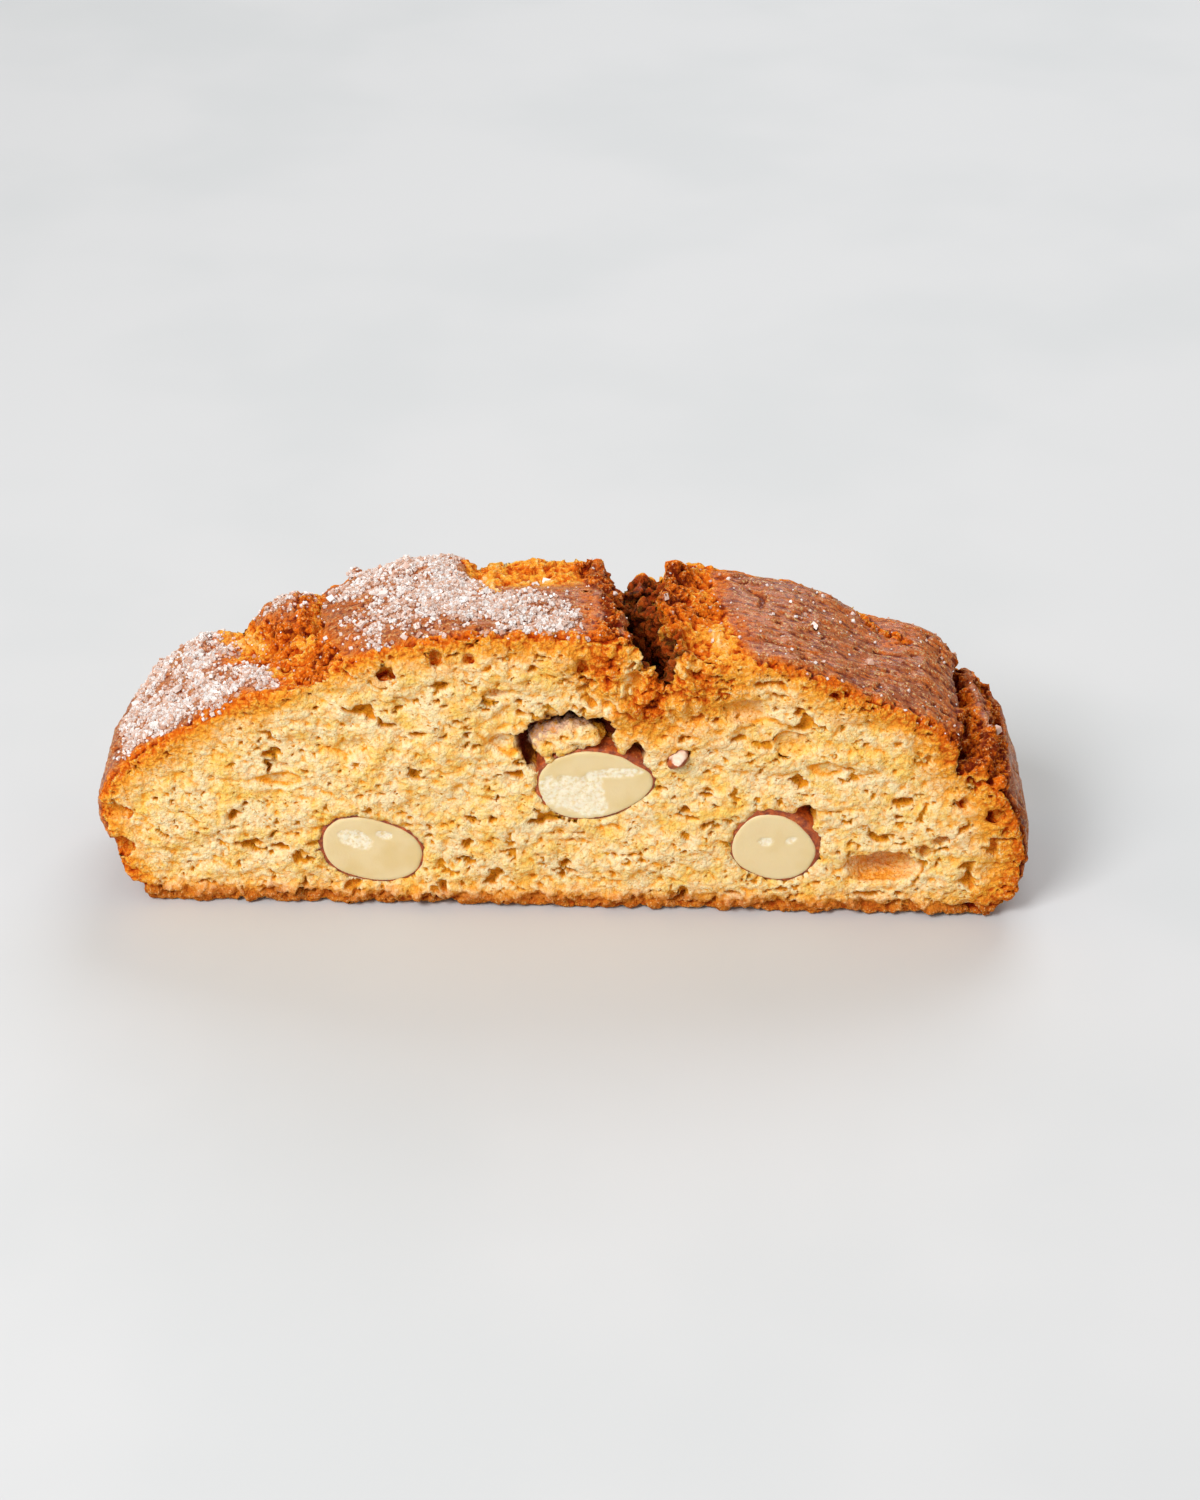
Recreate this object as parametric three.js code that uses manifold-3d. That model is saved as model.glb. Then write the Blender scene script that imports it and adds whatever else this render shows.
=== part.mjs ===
// An almond biscotto: one slice cut across a twice-baked almond loaf, standing on its baked underside.
//
// Millimetres, +Z up. X runs along the slice, Y through its thickness, and the origin is at the middle of
// the underside. The cut faces look along -Y and +Y, and the cracked, sugared crust arches over the top.
// A place on the crust is given as (run, y): run is the arc length from the crest at x = 0, along the
// section's outline, negative towards the left end.
import * as THREE from "three";
import { mergeVertices } from "three/addons/utils/BufferGeometryUtils.js";
import Module from "manifold-3d";

const wasm = await Module();
wasm.setup();
const { clamp, degToRad, lerp } = THREE.MathUtils;

// ---- The slice ----

const THICKNESS = 21; // between the two cut faces
const FACE = THICKNESS / 2; // a cut face's distance from the middle plane
const SIDE_RUN = 20; // length of outline that counts as an end of the loaf, up from the base
const GRID = { along: 50, through: 8, up: 14 }; // grid cells over the slice
const CRUMB_EDGE = 1.9; // rounding of a cut face's broken edge, over the top
const BASE_EDGE = 0.45; // the same, round the underside
const SEAT_GAP = 0.3; // clearance between an almond and the dough round it

// The section's outline from the left end of the base, over the crest, to the right end: [x, z].
const OUTLINE = [
  [-49.3, 0], [-51.9, 2.6], [-54, 7], [-55.2, 12.2], [-53.6, 17], [-49.4, 21.2],
  [-42.5, 25.6], [-33.5, 30.4], [-24.5, 34.4], [-15, 37], [-5, 38], [5, 37.8],
  [15, 36.6], [25, 34.4], [35, 30.6], [43, 26.4], [48.8, 21.4], [52.8, 15.8],
  [54.8, 9.6], [54.2, 4], [51, 0.6], [48.5, 0],
];

// ---- The crust's cracks ----

// Broad, shallow cracks in the crust's relief: each follows a path of [run, y, half width, depth].
const FISSURES = {
  left: [[-45, 11, 2.4, 2.1], [-41, 3.4, 3.1, 2.1], [-34, -3, 4.6, 1.6], [-29, -11, 4.2, 1.1]],
  tornEdge: [[16, 11, 1.6, 0.5], [16.2, 0, 3, 0.8], [17.2, -11, 4, 1]],
};
const FISSURE_LIP = { height: 0.35, reach: 1.4 }; // the crust curls up beside a fissure

// Narrow cracks, cut with steep walls: each follows a path of [run, y, half width, depth] to the back.
const SPLITS = {
  left: [[-28, -8, 0.9, 1.1], [-30.6, 0, 1, 1.8], [-31.2, 6, 1.1, 2], [-31.6, 12, 1.2, 1.9]],
  crown: [[-7.6, -3, 0.6, 0.7], [-9.6, 1.5, 1, 1.8], [-10.7, 6, 1.6, 3.2], [-11.2, 12, 2, 3.2]],
  cleft: [
    [51.6, -12, 1.9, 3], [50.5, -6, 1.5, 3], [49.9, 0, 1.4, 2.8], [49.2, 6, 1.3, 2.4], [48.6, 12, 1.1, 1.6],
  ],
  groove: [
    [55.4, -12, 0.8, 1.2], [54.2, -5, 0.9, 1.6], [55, 1, 0.9, 1.8], [53.8, 6, 1, 1.8], [52.4, 12, 0.6, 0.3],
  ],
  hairline: [[41, 3.6, 0.5, 0.7], [36.4, 6.2, 0.6, 0.9], [34.6, 12, 0.9, 1.2]],
};
// A split's mouth and floor as shares of its half width, and how far its cutter reaches over the crust.
const SPLIT_SHAPE = { mouth: 1.6, floor: 0.35, above: 1.6 };
const WALL_ROUGHNESS = { split: 0.3, crest: 0.8 }; // how far the torn walls wander

// The deep split at the crest, as sections from front to back: the two lips' x, the floor's middle x,
// half width and height, and the place along y.
const CREST_SPLIT = [
  { y: -12, lips: [4.2, 17.2], floor: { x: 13.2, half: 0.8, z: 30.8 } },
  { y: -9.6, lips: [5.6, 14.8], floor: { x: 12, half: 1, z: 31 } },
  { y: -7, lips: [6.3, 13.2], floor: { x: 10, half: 2.2, z: 27.4 } },
  { y: -3.4, lips: [5.9, 12.1], floor: { x: 9, half: 2.3, z: 27.2 } },
  { y: 0.6, lips: [5.3, 11.9], floor: { x: 8.4, half: 2, z: 30.4 } },
  { y: 5, lips: [3.7, 13.4], floor: { x: 8, half: 2.4, z: 31.8 } },
  { y: 12, lips: [1, 16.4], floor: { x: 7.2, half: 3, z: 31.6 } },
];
const ABOVE_CREST = 41; // height at which a split's cutter ends, over every lip

// Broad places where the crust has risen or sunk: centre, reach along the run and along y, and height.
const SWELLS = [
  { run: -49.5, y: 11, reachRun: 5, reachY: 9, height: 1.2 }, // left of the left fissure
  { run: -35.2, y: 10, reachRun: 3.8, reachY: 9, height: 1.9 }, // the small plate behind it
  { run: -20, y: 10, reachRun: 6, reachY: 9, height: 0.5 },
  { run: -4, y: 11.5, reachRun: 8.5, reachY: 10, height: -3.2 }, // behind the crest
  { run: -31, y: -11, reachRun: 7, reachY: 6, height: -1.4 }, // front end of the left fissure
  { run: 17, y: -11, reachRun: 6, reachY: 5, height: -1.2 }, // in front of the torn edge
  { run: 28, y: 10, reachRun: 5, reachY: 9, height: 1 },
  { run: 43.5, y: 9, reachRun: 4.6, reachY: 13, height: 1.7 }, // the ridge beside the cleft
  { run: 54, y: 0, reachRun: 4.6, reachY: 40, height: 1.2 }, // the shoulder beyond it
];

// Places along the front edge where the underside stands clear of the table: x, half width and lift.
const LIFTS = [
  [-37.6, 2, 1.2], [-27, 3, 0.4], [-16, 3, 0.7], [-3, 3, 0.5], [8, 2.5, 0.4], [22, 2.4, 0.4], [43, 3.4, 1.3],
];
const FLAT_HALF_DEPTH = 6; // the underside is flat this far each side of y = 0

// ---- Hollows and lumps ----

const LUMP_WANDER = 0.25; // how far a lump's surface wanders, as a share of its radii

// Hollows in the front face where dough has torn away from an almond, or held gas.
const FRONT_HOLLOWS = {
  overMiddleAlmond: { at: [1.4, -9.8, 24.8], radii: [5.4, 5.4, 3.9] },
  leftOfMiddleAlmond: { at: [-3.4, -10, 22.6], radii: [1.9, 3.4, 3.2] },
  rightOfMiddleAlmond: { at: [8.6, -10.4, 22.4], radii: [1.4, 2, 1.5] },
  overRightAlmond: { at: [28.6, -10.4, 13.9], radii: [1.5, 2.4, 1.9] },
  almondPrint: { at: [37.8, -10.8, 6.9], radii: [4.4, 4.6, 2.5] },
  hook: { at: [44.3, -10.6, 11], radii: [1.3, 2.2, 0.9] },
  hookTail: { at: [42.6, -10.6, 9.4], radii: [0.9, 1.8, 1.3] },
  endPocketHigh: { at: [-53.2, -10.2, 12.4], radii: [2.3, 1.9, 1.5] },
  endPocketLow: { at: [-52.4, -10.2, 7.6], radii: [1.8, 2.6, 1.6] },
  crustBubble: { at: [-14.1, -10.4, 34.2], radii: [1.1, 1.6, 1.4] },
  crustBubbleSmall: { at: [-10.4, -10.4, 34.3], radii: [0.9, 1.3, 0.8] },
  crustBubbleRight: { at: [2.3, -10.4, 33.6], radii: [0.9, 1.6, 1.2] },
  shoulderPore: { at: [-20, -10.4, 32.2], radii: [1.3, 1.5, 1.2] },
  longPore: { at: [-7.5, -10.8, 29.6], radii: [2.2, 1.6, 0.9] },
  tornLedge: { at: [-7.6, -10.9, 22.6], radii: [2, 1.3, 1.9] },
  smoothBubble: { at: [21.3, -11.2, 28.2], radii: [3.4, 2.3, 1.9] },
  smoothBubbleLow: { at: [27, -11.2, 23.8], radii: [2.4, 2, 1.7] },
  leftLedge: { at: [-24, -10.8, 22.4], radii: [2.1, 1.5, 1.1] },
  leftLedgeFar: { at: [-33, -10.8, 19.4], radii: [1.7, 1.4, 0.8] },
  endPore: { at: [46.7, -10.5, 16.1], radii: [1, 1.5, 0.9] },
  endPoreBrown: { at: [50.6, -10.3, 14.4], radii: [1.4, 1.7, 1.2] },
};

// Lumps of dough that stand in the hollows: crumb clinging to the middle almond, and broken crust in the
// split at the crest.
const FRAGMENTS = {
  clingingCrumb: { at: [0.8, -7.2, 22.4], radii: [4.4, 3.8, 2] },
  crestFront: { at: [8.2, -1, 29.6], radii: [2, 2.2, 1.9] },
  crestMiddle: { at: [10, 2.6, 32.2], radii: [2, 2.2, 2] },
  crestRight: { at: [12, 6.4, 33.6], radii: [1.8, 2.1, 2] },
  crestBack: { at: [9.4, 8.5, 32.4], radii: [3.3, 2.1, 2.1] },
};

// Hollows in the back face.
const BACK_HOLLOWS = {
  backBubble: { at: [-30, 11.2, 19], radii: [2.8, 2.2, 1.7] },
  backPore: { at: [14, 10.8, 27], radii: [1.8, 1.8, 1.2] },
  backLedge: { at: [34, 11, 18], radii: [2.4, 1.7, 1.2] },
  backEndPore: { at: [-46, 10.6, 12], radii: [1.4, 1.7, 1] },
  backLongPore: { at: [-8, 10.8, 12.4], radii: [2.3, 1.6, 0.9] },
};

// ---- Almonds ----

// An almond lies along Y and shows its section in the front face. width and height are that section's,
// share says where along its half length the front face cuts it, and tip is +1 where the point lies at
// the back and -1 where it lies at the front. egg is how much lower its +X side is than its -X side, and
// square how full its section is. roll turns the section, and rise lifts the far end, in degrees.
const ALMOND_LENGTH = 27;
const ALMONDS = {
  almond_left: {
    x: -22.7, z: 7.9, width: 12.3, height: 8.9, roll: -13, egg: 0.04, square: 0.9,
    share: 0.7, tip: 1, rise: 1,
  },
  almond_middle: {
    x: 3.8, z: 17.6, width: 13.8, height: 9.3, roll: 8, egg: 0.16, square: 1,
    share: 0.6, tip: 1, rise: 9,
  },
  almond_right: {
    x: 25.1, z: 9.6, width: 10.2, height: 9.6, roll: -26, egg: 0.08, square: 0.88,
    share: 0.6, tip: -1, rise: 0,
  },
};
const ALMOND_TAPER = { width: 0.22, height: 0.15 }; // how much slimmer it gets from its middle to its point
const ALMOND_FULLNESS = { width: 0.5, height: 0.3 }; // smaller is blunter towards the two ends
const ALMOND_CELLS = { round: 18, along: 12 };
const CHIP = { at: [13.4, -10, 21.6], radii: [1.4, 1.9, 0.9], roll: 35 };

// ---- Sugar ----

// Sugared parts of the crust, as outlines in (run, y), and the coarsest crystals on them.
const SUGARED = [
  [[-58, -11], [-56, 11], [-46, 11], [-43.5, 3], [-38, -3.5], [-33.5, -11]],
  [[-29, 4], [-26, 11], [-13.5, 11], [-11, 2], [-0.5, -2], [3.5, -8], [2, -11], [-17, -11], [-25, -8]],
  [[-37, 5], [-36.5, 11], [-32.5, 11], [-32.5, 5]],
];
const CRYSTALS = 60;
const CRYSTAL_SIZE = { smallest: 0.75, largest: 1.2 };
const CRYSTAL_SIDES = [1, 0.8, 0.7]; // as shares of its size
const SUGARED_RUN = 60; // the crust is sugared no further than this from the crest
const SUGAR_MARGIN = 0.6; // from the edge of a sugared part, and twice that from a cut face
const STRAY_SHARE = 0.05; // crystals that lie off the sugared parts
const EVEN_STEPS = [0.7548776662, 0.569840291]; // irrational steps that spread points evenly over a square

// ---- Noise ----

// A number from 0 to 1 for each lattice point, the same on every run.
function lattice(i, j, k) {
  const s = Math.sin(i * 127.1 + j * 311.7 + k * 74.7) * 43758.5453;
  return s - Math.floor(s);
}

// Smooth noise from -1 to 1.
function noise(x, y, z) {
  const [i, j, k] = [Math.floor(x), Math.floor(y), Math.floor(z)];
  const [u, v, w] = [x - i, y - j, z - k].map((t) => t * t * (3 - 2 * t));
  const along = (b, c) => lerp(lattice(i, j + b, k + c), lattice(i + 1, j + b, k + c), u);
  const across = (c) => lerp(along(0, c), along(1, c), v);
  return 2 * lerp(across(0), across(1), w) - 1;
}

const smooth = (low, high, t) => THREE.MathUtils.smoothstep(t, low, high);
const bell = (t) => Math.exp(-(t ** 2));

// ---- The section ----

const spline = new THREE.SplineCurve(OUTLINE.map(([x, z]) => new THREE.Vector2(x, z)));
spline.arcLengthDivisions = 800;
const SPLINE_LENGTH = spline.getLength();

const SAMPLES = { arch: 400, base: 200 };

// The outline over the top as samples: point, outward normal and run.
const ARCH = Array.from({ length: SAMPLES.arch + 1 }, (_, i) => {
  const tangent = spline.getTangentAt(i / SAMPLES.arch);
  return {
    point: spline.getPointAt(i / SAMPLES.arch),
    out: new THREE.Vector2(-tangent.y, tangent.x),
    run: (SPLINE_LENGTH * i) / SAMPLES.arch,
  };
});
const CREST_RUN = ARCH.find(({ point }) => point.x > 0).run;
for (const sample of ARCH) sample.run -= CREST_RUN;

// The same for the flat base, which has no run.
const BASE = Array.from({ length: SAMPLES.base - 1 }, (_, i) => ({
  point: new THREE.Vector2(lerp(OUTLINE.at(-1)[0], OUTLINE[0][0], (i + 1) / SAMPLES.base), 0),
  out: new THREE.Vector2(0, -1),
  run: null,
}));

const lowest = (list, cost) => list.reduce((best, item) => (cost(item) < cost(best) ? item : best));
const nearestOnOutline = (p) => lowest([...ARCH, ...BASE], ({ point }) => point.distanceToSquared(p));
const nearestRun = (run) => lowest(ARCH, (sample) => Math.abs(sample.run - run));

// A point of the section for u along it and w up it, both from 0 to 1: a Coons patch of its four sides.
function sectionPoint(u, w) {
  const side = SIDE_RUN / SPLINE_LENGTH;
  const left = (t) => spline.getPointAt(t * side);
  const right = (t) => spline.getPointAt(1 - t * side);
  const top = (t) => spline.getPointAt(side + t * (1 - 2 * side));
  const base = (t) => left(0).lerp(right(0), t);
  const sides = left(w).lerp(right(w), u);
  const ends = base(u).lerp(top(u), w);
  const corners = left(0).lerp(right(0), u).lerp(left(1).lerp(right(1), u), w);
  return sides.add(ends).sub(corners);
}

// ---- Relief ----

// The nearest place on a crack's path to (run, y): distance, half width and depth there.
function nearestOnPath(path, run, y) {
  let best = { distance: Infinity };
  for (let i = 0; i + 1 < path.length; i++) {
    const [[r0, y0, w0, d0], [r1, y1, w1, d1]] = [path[i], path[i + 1]];
    const [dr, dy] = [r1 - r0, y1 - y0];
    const t = clamp(((run - r0) * dr + (y - y0) * dy) / (dr * dr + dy * dy), 0, 1);
    const distance = Math.hypot(run - r0 - t * dr, y - y0 - t * dy);
    if (distance < best.distance)
      best = { distance, width: lerp(w0, w1, t), depth: lerp(d0, d1, t) };
  }
  return best;
}

// How far the crust stands out from the plain outline at (run, y).
function crustRelief(run, y) {
  let height = 0.45 * noise(run / 9, y / 8, 1.5) + 0.2 * noise(run / 3.5, y / 3.5, 4.5);
  for (const path of Object.values(FISSURES)) {
    const { distance, width, depth } = nearestOnPath(path, run, y);
    height -= depth * (1 - smooth(0.4 * width, 1.1 * width, distance));
    height += FISSURE_LIP.height * bell((distance - 1.4 * width) / FISSURE_LIP.reach);
  }
  for (const swell of SWELLS) {
    const [along, through] = [(run - swell.run) / swell.reachRun, (y - swell.y) / swell.reachY];
    height += swell.height * bell(along ** 2) * bell(through ** 2);
  }
  return height;
}

// How far the underside stands clear of the table.
function baseLift(x, y) {
  const front = smooth(FLAT_HALF_DEPTH, FACE, -y);
  const edge = smooth(FLAT_HALF_DEPTH, FACE, Math.abs(y));
  const dents = 0.9 * Math.max(0, noise(x / 5, y / 5, 8.5) - 0.1) * edge;
  return Math.max(dents, ...LIFTS.map(([at, width, rise]) => rise * front * bell((x - at) / width)));
}

// The relief of a cut face's crumb: torn ledges, longer along the slice, and clumps. It fades by an almond.
function crumbRelief(x, z, side) {
  const seed = side > 0 ? 31.5 : 11.5;
  const ledges = 0.5 * noise(x / 6.5 + 0.3 * noise(x / 9, z / 9, seed), z / 3.2, seed);
  const clumps = 0.4 * noise(x / 2.6, z / 2.2, seed + 5);
  const clear = Object.values(ALMONDS).reduce((fade, a) => {
    const reach = Math.hypot((x - a.x) / a.width, (z - a.z) / a.height);
    return fade * (side > 0 ? 1 : smooth(0.5, 0.85, reach));
  }, 1);
  return (ledges + clumps) * clear;
}

// ---- The dough ----

// Where a grid point of the slice lies: u along, v through and w up, each from 0 to 1.
function doughPoint(u, v, w) {
  const flat = sectionPoint(u, w);
  const side = Math.sign(v - 0.5);
  const onCut = v === 0 || v === 1;
  const depth = FACE - Math.abs(v - 0.5) * THICKNESS; // in from the cut face
  const { point, out, run } = nearestOnOutline(flat);
  const inset = onCut ? flat.distanceTo(point) : 0; // in from the outline
  const radius = lerp(BASE_EDGE, CRUMB_EDGE, smooth(1, 9, point.y));

  // The edge between outline and cut face is rounded: both insets are taken to an arc.
  let [a, b] = [Math.max(0, radius - inset), Math.max(0, radius - depth)];
  const reach = Math.hypot(a, b);
  [a, b] = [(a * radius) / reach, (b * radius) / reach];
  const place = a > 0 ? point.clone().addScaledVector(out, a - radius) : flat;
  const y = side * (b > 0 ? FACE - radius + b : FACE - depth);

  const [crustShare, cutShare] = [(a / radius) ** 2, (b / radius) ** 2];
  const lift = run === null ? baseLift(place.x, y) * crustShare : 0;
  const crust = run === null ? 0 : crustRelief(run, y) * smooth(4, 14, point.y) * crustShare;
  const crumb = crumbRelief(place.x, place.y, side) * cutShare * smooth(0, 3, place.y);
  const result = new THREE.Vector3(place.x, y, place.y);
  result.addScaledVector(new THREE.Vector3(out.x, 0, out.y), crust - lift);
  result.y += side * crumb;
  result.z = Math.max(0, result.z);
  return result;
}

function doughGeometry() {
  const box = new THREE.BoxGeometry(1, 1, 1, GRID.along, GRID.through, GRID.up);
  const places = box.getAttribute("position");
  for (let i = 0; i < places.count; i++) {
    const [u, v, w] = [places.getX(i), places.getY(i), places.getZ(i)].map((t) => t + 0.5);
    const p = doughPoint(u, v, w);
    places.setXYZ(i, p.x, p.y, p.z);
  }
  return box;
}

// ---- Solids ----

// A closed geometry as a manifold-3d solid, with its shared vertices merged.
function solidOf(geometry) {
  const bare = geometry.clone();
  bare.deleteAttribute("normal");
  bare.deleteAttribute("uv");
  const merged = mergeVertices(bare, 1e-4);
  const vertProperties = merged.getAttribute("position").array;
  const triVerts = new Uint32Array(merged.index.array);
  return new wasm.Manifold(new wasm.Mesh({ numProp: 3, vertProperties, triVerts }));
}

function geometryOf(solid) {
  const { vertProperties, triVerts } = solid.getMesh();
  const geometry = new THREE.BufferGeometry();
  geometry.setAttribute("position", new THREE.BufferAttribute(vertProperties, 3));
  geometry.setIndex(new THREE.BufferAttribute(triVerts, 1));
  geometry.computeVertexNormals();
  return geometry;
}

// An uneven ellipsoid in its place, larger all round by swell. roll turns it in the plane of the cut face.
function lumpSolid({ at, radii, roll = 0 }, swell = 0) {
  const ball = new THREE.IcosahedronGeometry(1, 1);
  const places = ball.getAttribute("position");
  const p = new THREE.Vector3();
  for (let i = 0; i < places.count; i++) {
    p.fromBufferAttribute(places, i);
    p.multiplyScalar(1 + LUMP_WANDER * noise(2.1 * p.x + at[0], 2.1 * p.y + at[1], 2.1 * p.z + at[2]));
    places.setXYZ(i, p.x, p.y, p.z);
  }
  ball.scale(...radii.map((r) => r + swell)).rotateY(degToRad(-roll)).translate(...at);
  return solidOf(ball);
}

// A cutter for a crack: stations run along it to the back, each with four corners, mouth left and right,
// then floor left and right. Its walls wander by rough.
function trenchSolid(stations, rough) {
  const spans = stations.length - 1;
  const trench = new THREE.BoxGeometry(1, 1, 1, 2, 2 * spans, 2);
  const places = trench.getAttribute("position");
  for (let i = 0; i < places.count; i++) {
    const [u, v, w] = [places.getX(i), places.getY(i), places.getZ(i)].map((t) => t + 0.5);
    const span = Math.min(spans - 1, Math.floor(v * spans));
    const corners = stations[span].map((p, k) => p.clone().lerp(stations[span + 1][k], v * spans - span));
    const [mouthLeft, mouthRight, floorLeft, floorRight] = corners;
    const p = floorLeft.lerp(floorRight, u).lerp(mouthLeft.lerp(mouthRight, u), w ** 0.8);
    const sway = (seed) => rough * noise(p.x / 1.8 + seed, p.y / 1.8, p.z / 1.8);
    places.setXYZ(i, p.x + sway(3), p.y, p.z + sway(7));
  }
  return solidOf(trench);
}

// A narrow crack in the crust, from its path.
function splitSolid(path) {
  const stations = path.map(([run, y, half, depth]) => {
    const { point, out } = nearestRun(run);
    const corner = (across, up) =>
      new THREE.Vector3(point.x + out.x * up + out.y * across, y, point.y + out.y * up - out.x * across);
    const [mouth, floor] = [SPLIT_SHAPE.mouth * half, SPLIT_SHAPE.floor * half];
    const mouthCorners = [corner(-mouth, SPLIT_SHAPE.above), corner(mouth, SPLIT_SHAPE.above)];
    return [...mouthCorners, corner(-floor, -depth), corner(floor, -depth)];
  });
  return trenchSolid(stations, WALL_ROUGHNESS.split);
}

function crestSplitSolid() {
  const stations = CREST_SPLIT.map(({ y, lips: [left, right], floor: { x, half, z } }) => [
    new THREE.Vector3(left, y, ABOVE_CREST),
    new THREE.Vector3(right, y, ABOVE_CREST),
    new THREE.Vector3(x - half, y, z),
    new THREE.Vector3(x + half, y, z),
  ]);
  return trenchSolid(stations, WALL_ROUGHNESS.crest);
}

// How much of its full width or height an almond has at t, from -1 at the blunt end to 1 at the point.
function almondShare(t, side) {
  return Math.max(0, 1 - t * t) ** ALMOND_FULLNESS[side] * (1 - ALMOND_TAPER[side] * t);
}

// A whole almond in its place, larger all round by swell.
function wholeAlmond({ x, z, width, height, share, tip, egg, square, roll, rise }, swell = 0) {
  const cut = -share * tip;
  const halfWidth = width / 2 / almondShare(cut, "width") + swell;
  const halfHeight = height / 2 / almondShare(cut, "height") + swell;
  const halfLength = ALMOND_LENGTH / 2;
  const almond = new THREE.SphereGeometry(1, ALMOND_CELLS.round, ALMOND_CELLS.along);
  const places = almond.getAttribute("position");
  const fill = (c) => Math.sign(c) * Math.abs(c) ** square;
  for (let i = 0; i < places.count; i++) {
    const t = clamp(places.getY(i), -1, 1);
    const ring = Math.hypot(places.getX(i), places.getZ(i)) || 1;
    const [across, up] = [fill(places.getX(i) / ring), fill(places.getZ(i) / ring)];
    const px = across * halfWidth * almondShare(t * tip, "width");
    const pz = up * (1 - egg * across) * halfHeight * almondShare(t * tip, "height");
    places.setXYZ(i, px, t * (halfLength + swell), pz);
  }
  almond.rotateY(degToRad(-roll));
  almond.translate(0, share * halfLength, 0);
  almond.rotateX(degToRad(rise));
  almond.translate(x, -FACE, z);
  return solidOf(almond);
}

// The room between the two cut faces, which trims the almonds.
const SLAB = solidOf(new THREE.BoxGeometry(200, THICKNESS, 200));

// ---- Sugar crystals ----

// Signed distance from a point to an outline's edge, negative inside.
function outlineDistance(outline, run, y) {
  let [distance, inside] = [Infinity, false];
  outline.forEach(([r1, y1], i) => {
    const [r0, y0] = outline.at(i - 1);
    const [dr, dy] = [r1 - r0, y1 - y0];
    const t = clamp(((run - r0) * dr + (y - y0) * dy) / (dr * dr + dy * dy), 0, 1);
    distance = Math.min(distance, Math.hypot(run - r0 - t * dr, y - y0 - t * dy));
    if (y0 > y !== y1 > y && run < r0 + ((y - y0) * dr) / dy) inside = !inside;
  });
  return inside ? -distance : distance;
}

// One crystal on the crust at (run, y), turned by its number and half sunk in.
function crystalSolid(n, run, y, size) {
  const { point, out } = nearestRun(run);
  const height = crustRelief(run, y) + 0.1 * size;
  const crystal = new THREE.BoxGeometry(...CRYSTAL_SIDES.map((share) => share * size));
  const [turnX, turnY, turnZ] = [5, 7, 9].map((draw) => 2 * Math.PI * lattice(n, draw, 1));
  crystal.rotateX(turnX).rotateY(turnY).rotateZ(turnZ);
  crystal.translate(point.x + out.x * height, y, point.y + out.y * height);
  return solidOf(crystal);
}

// Crystals spread evenly, kept where the crust is sugared, largest first.
function crystalSolids() {
  const crystals = [];
  for (let n = 1; crystals.length < CRYSTALS; n++) {
    const [along, through] = EVEN_STEPS.map((step) => (n * step) % 1);
    const run = lerp(-SUGARED_RUN, SUGARED_RUN, along);
    const y = lerp(-1, 1, through) * (FACE - 2 * SUGAR_MARGIN);
    const distance = Math.min(...SUGARED.map((outline) => outlineDistance(outline, run, y)));
    if (distance > -SUGAR_MARGIN && lattice(n, 2, 3) > STRAY_SHARE) continue;
    const size = lerp(CRYSTAL_SIZE.largest, CRYSTAL_SIZE.smallest, crystals.length / CRYSTALS);
    crystals.push(crystalSolid(n, run, y, size));
  }
  return crystals;
}

// ---- The pieces ----

// The dough: hollows and cracks are taken out of it, fragments put back, seats cut for the almonds, and
// crystals fused on. Scraps that a hollow has cut loose are dropped.
function doughSolid() {
  const take = (solid, cutter) => solid.subtract(cutter);
  const join = (solid, lump) => solid.add(lump);
  const cracks = [crestSplitSolid(), ...Object.values(SPLITS).map(splitSolid)];
  const hollows = Object.values({ ...FRONT_HOLLOWS, ...BACK_HOLLOWS }).map((lump) => lumpSolid(lump));
  const fragments = Object.values(FRAGMENTS).map((lump) => lumpSolid(lump));
  const seats = Object.values(ALMONDS).map((almond) => wholeAlmond(almond, SEAT_GAP));
  const torn = [...cracks, ...hollows].reduce(take, solidOf(doughGeometry()));
  const seated = [...seats, lumpSolid(CHIP, SEAT_GAP)].reduce(take, fragments.reduce(join, torn));
  const bodies = crystalSolids().reduce(join, seated).decompose();
  return bodies.reduce((largest, body) => (body.volume() > largest.volume() ? body : largest));
}

function piece(name, solid, color, roughness) {
  const material = new THREE.MeshStandardMaterial({ color, roughness, metalness: 0 });
  const mesh = new THREE.Mesh(geometryOf(solid), material);
  mesh.name = name;
  return mesh;
}

const COLOR = { crumb: 0xe3b46a, kernel: 0xebdcae, skin: 0x9a4f2a };

const biscotto = new THREE.Group();
biscotto.add(piece("dough", doughSolid(), COLOR.crumb, 0.85));
for (const [name, almond] of Object.entries(ALMONDS))
  biscotto.add(piece(name, wholeAlmond(almond).intersect(SLAB), COLOR.kernel, 0.55));
biscotto.add(piece("almond_chip", lumpSolid(CHIP), COLOR.skin, 0.7));

export default biscotto;
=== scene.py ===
"""An almond biscotto: a slice of twice-baked almond loaf with a cracked, sugared crust and cut almonds.

The dough is grown from its solid: the solid is given a fine skin, softened, then roughened into crumb, torn
ledges, pores and baked crust. Almonds are a kernel in a thin skin, and the sugar is real crystals. Lengths
are in millimetres in the classes' fields and in metres in every mesh.
"""

from __future__ import annotations

import logging
import math
from dataclasses import dataclass
from enum import Enum
from typing import Sequence, TypeAlias

import bmesh
import bpy
import numpy as np
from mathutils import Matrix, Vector
from mathutils.bvhtree import BVHTree
from mathutils.kdtree import KDTree

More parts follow.
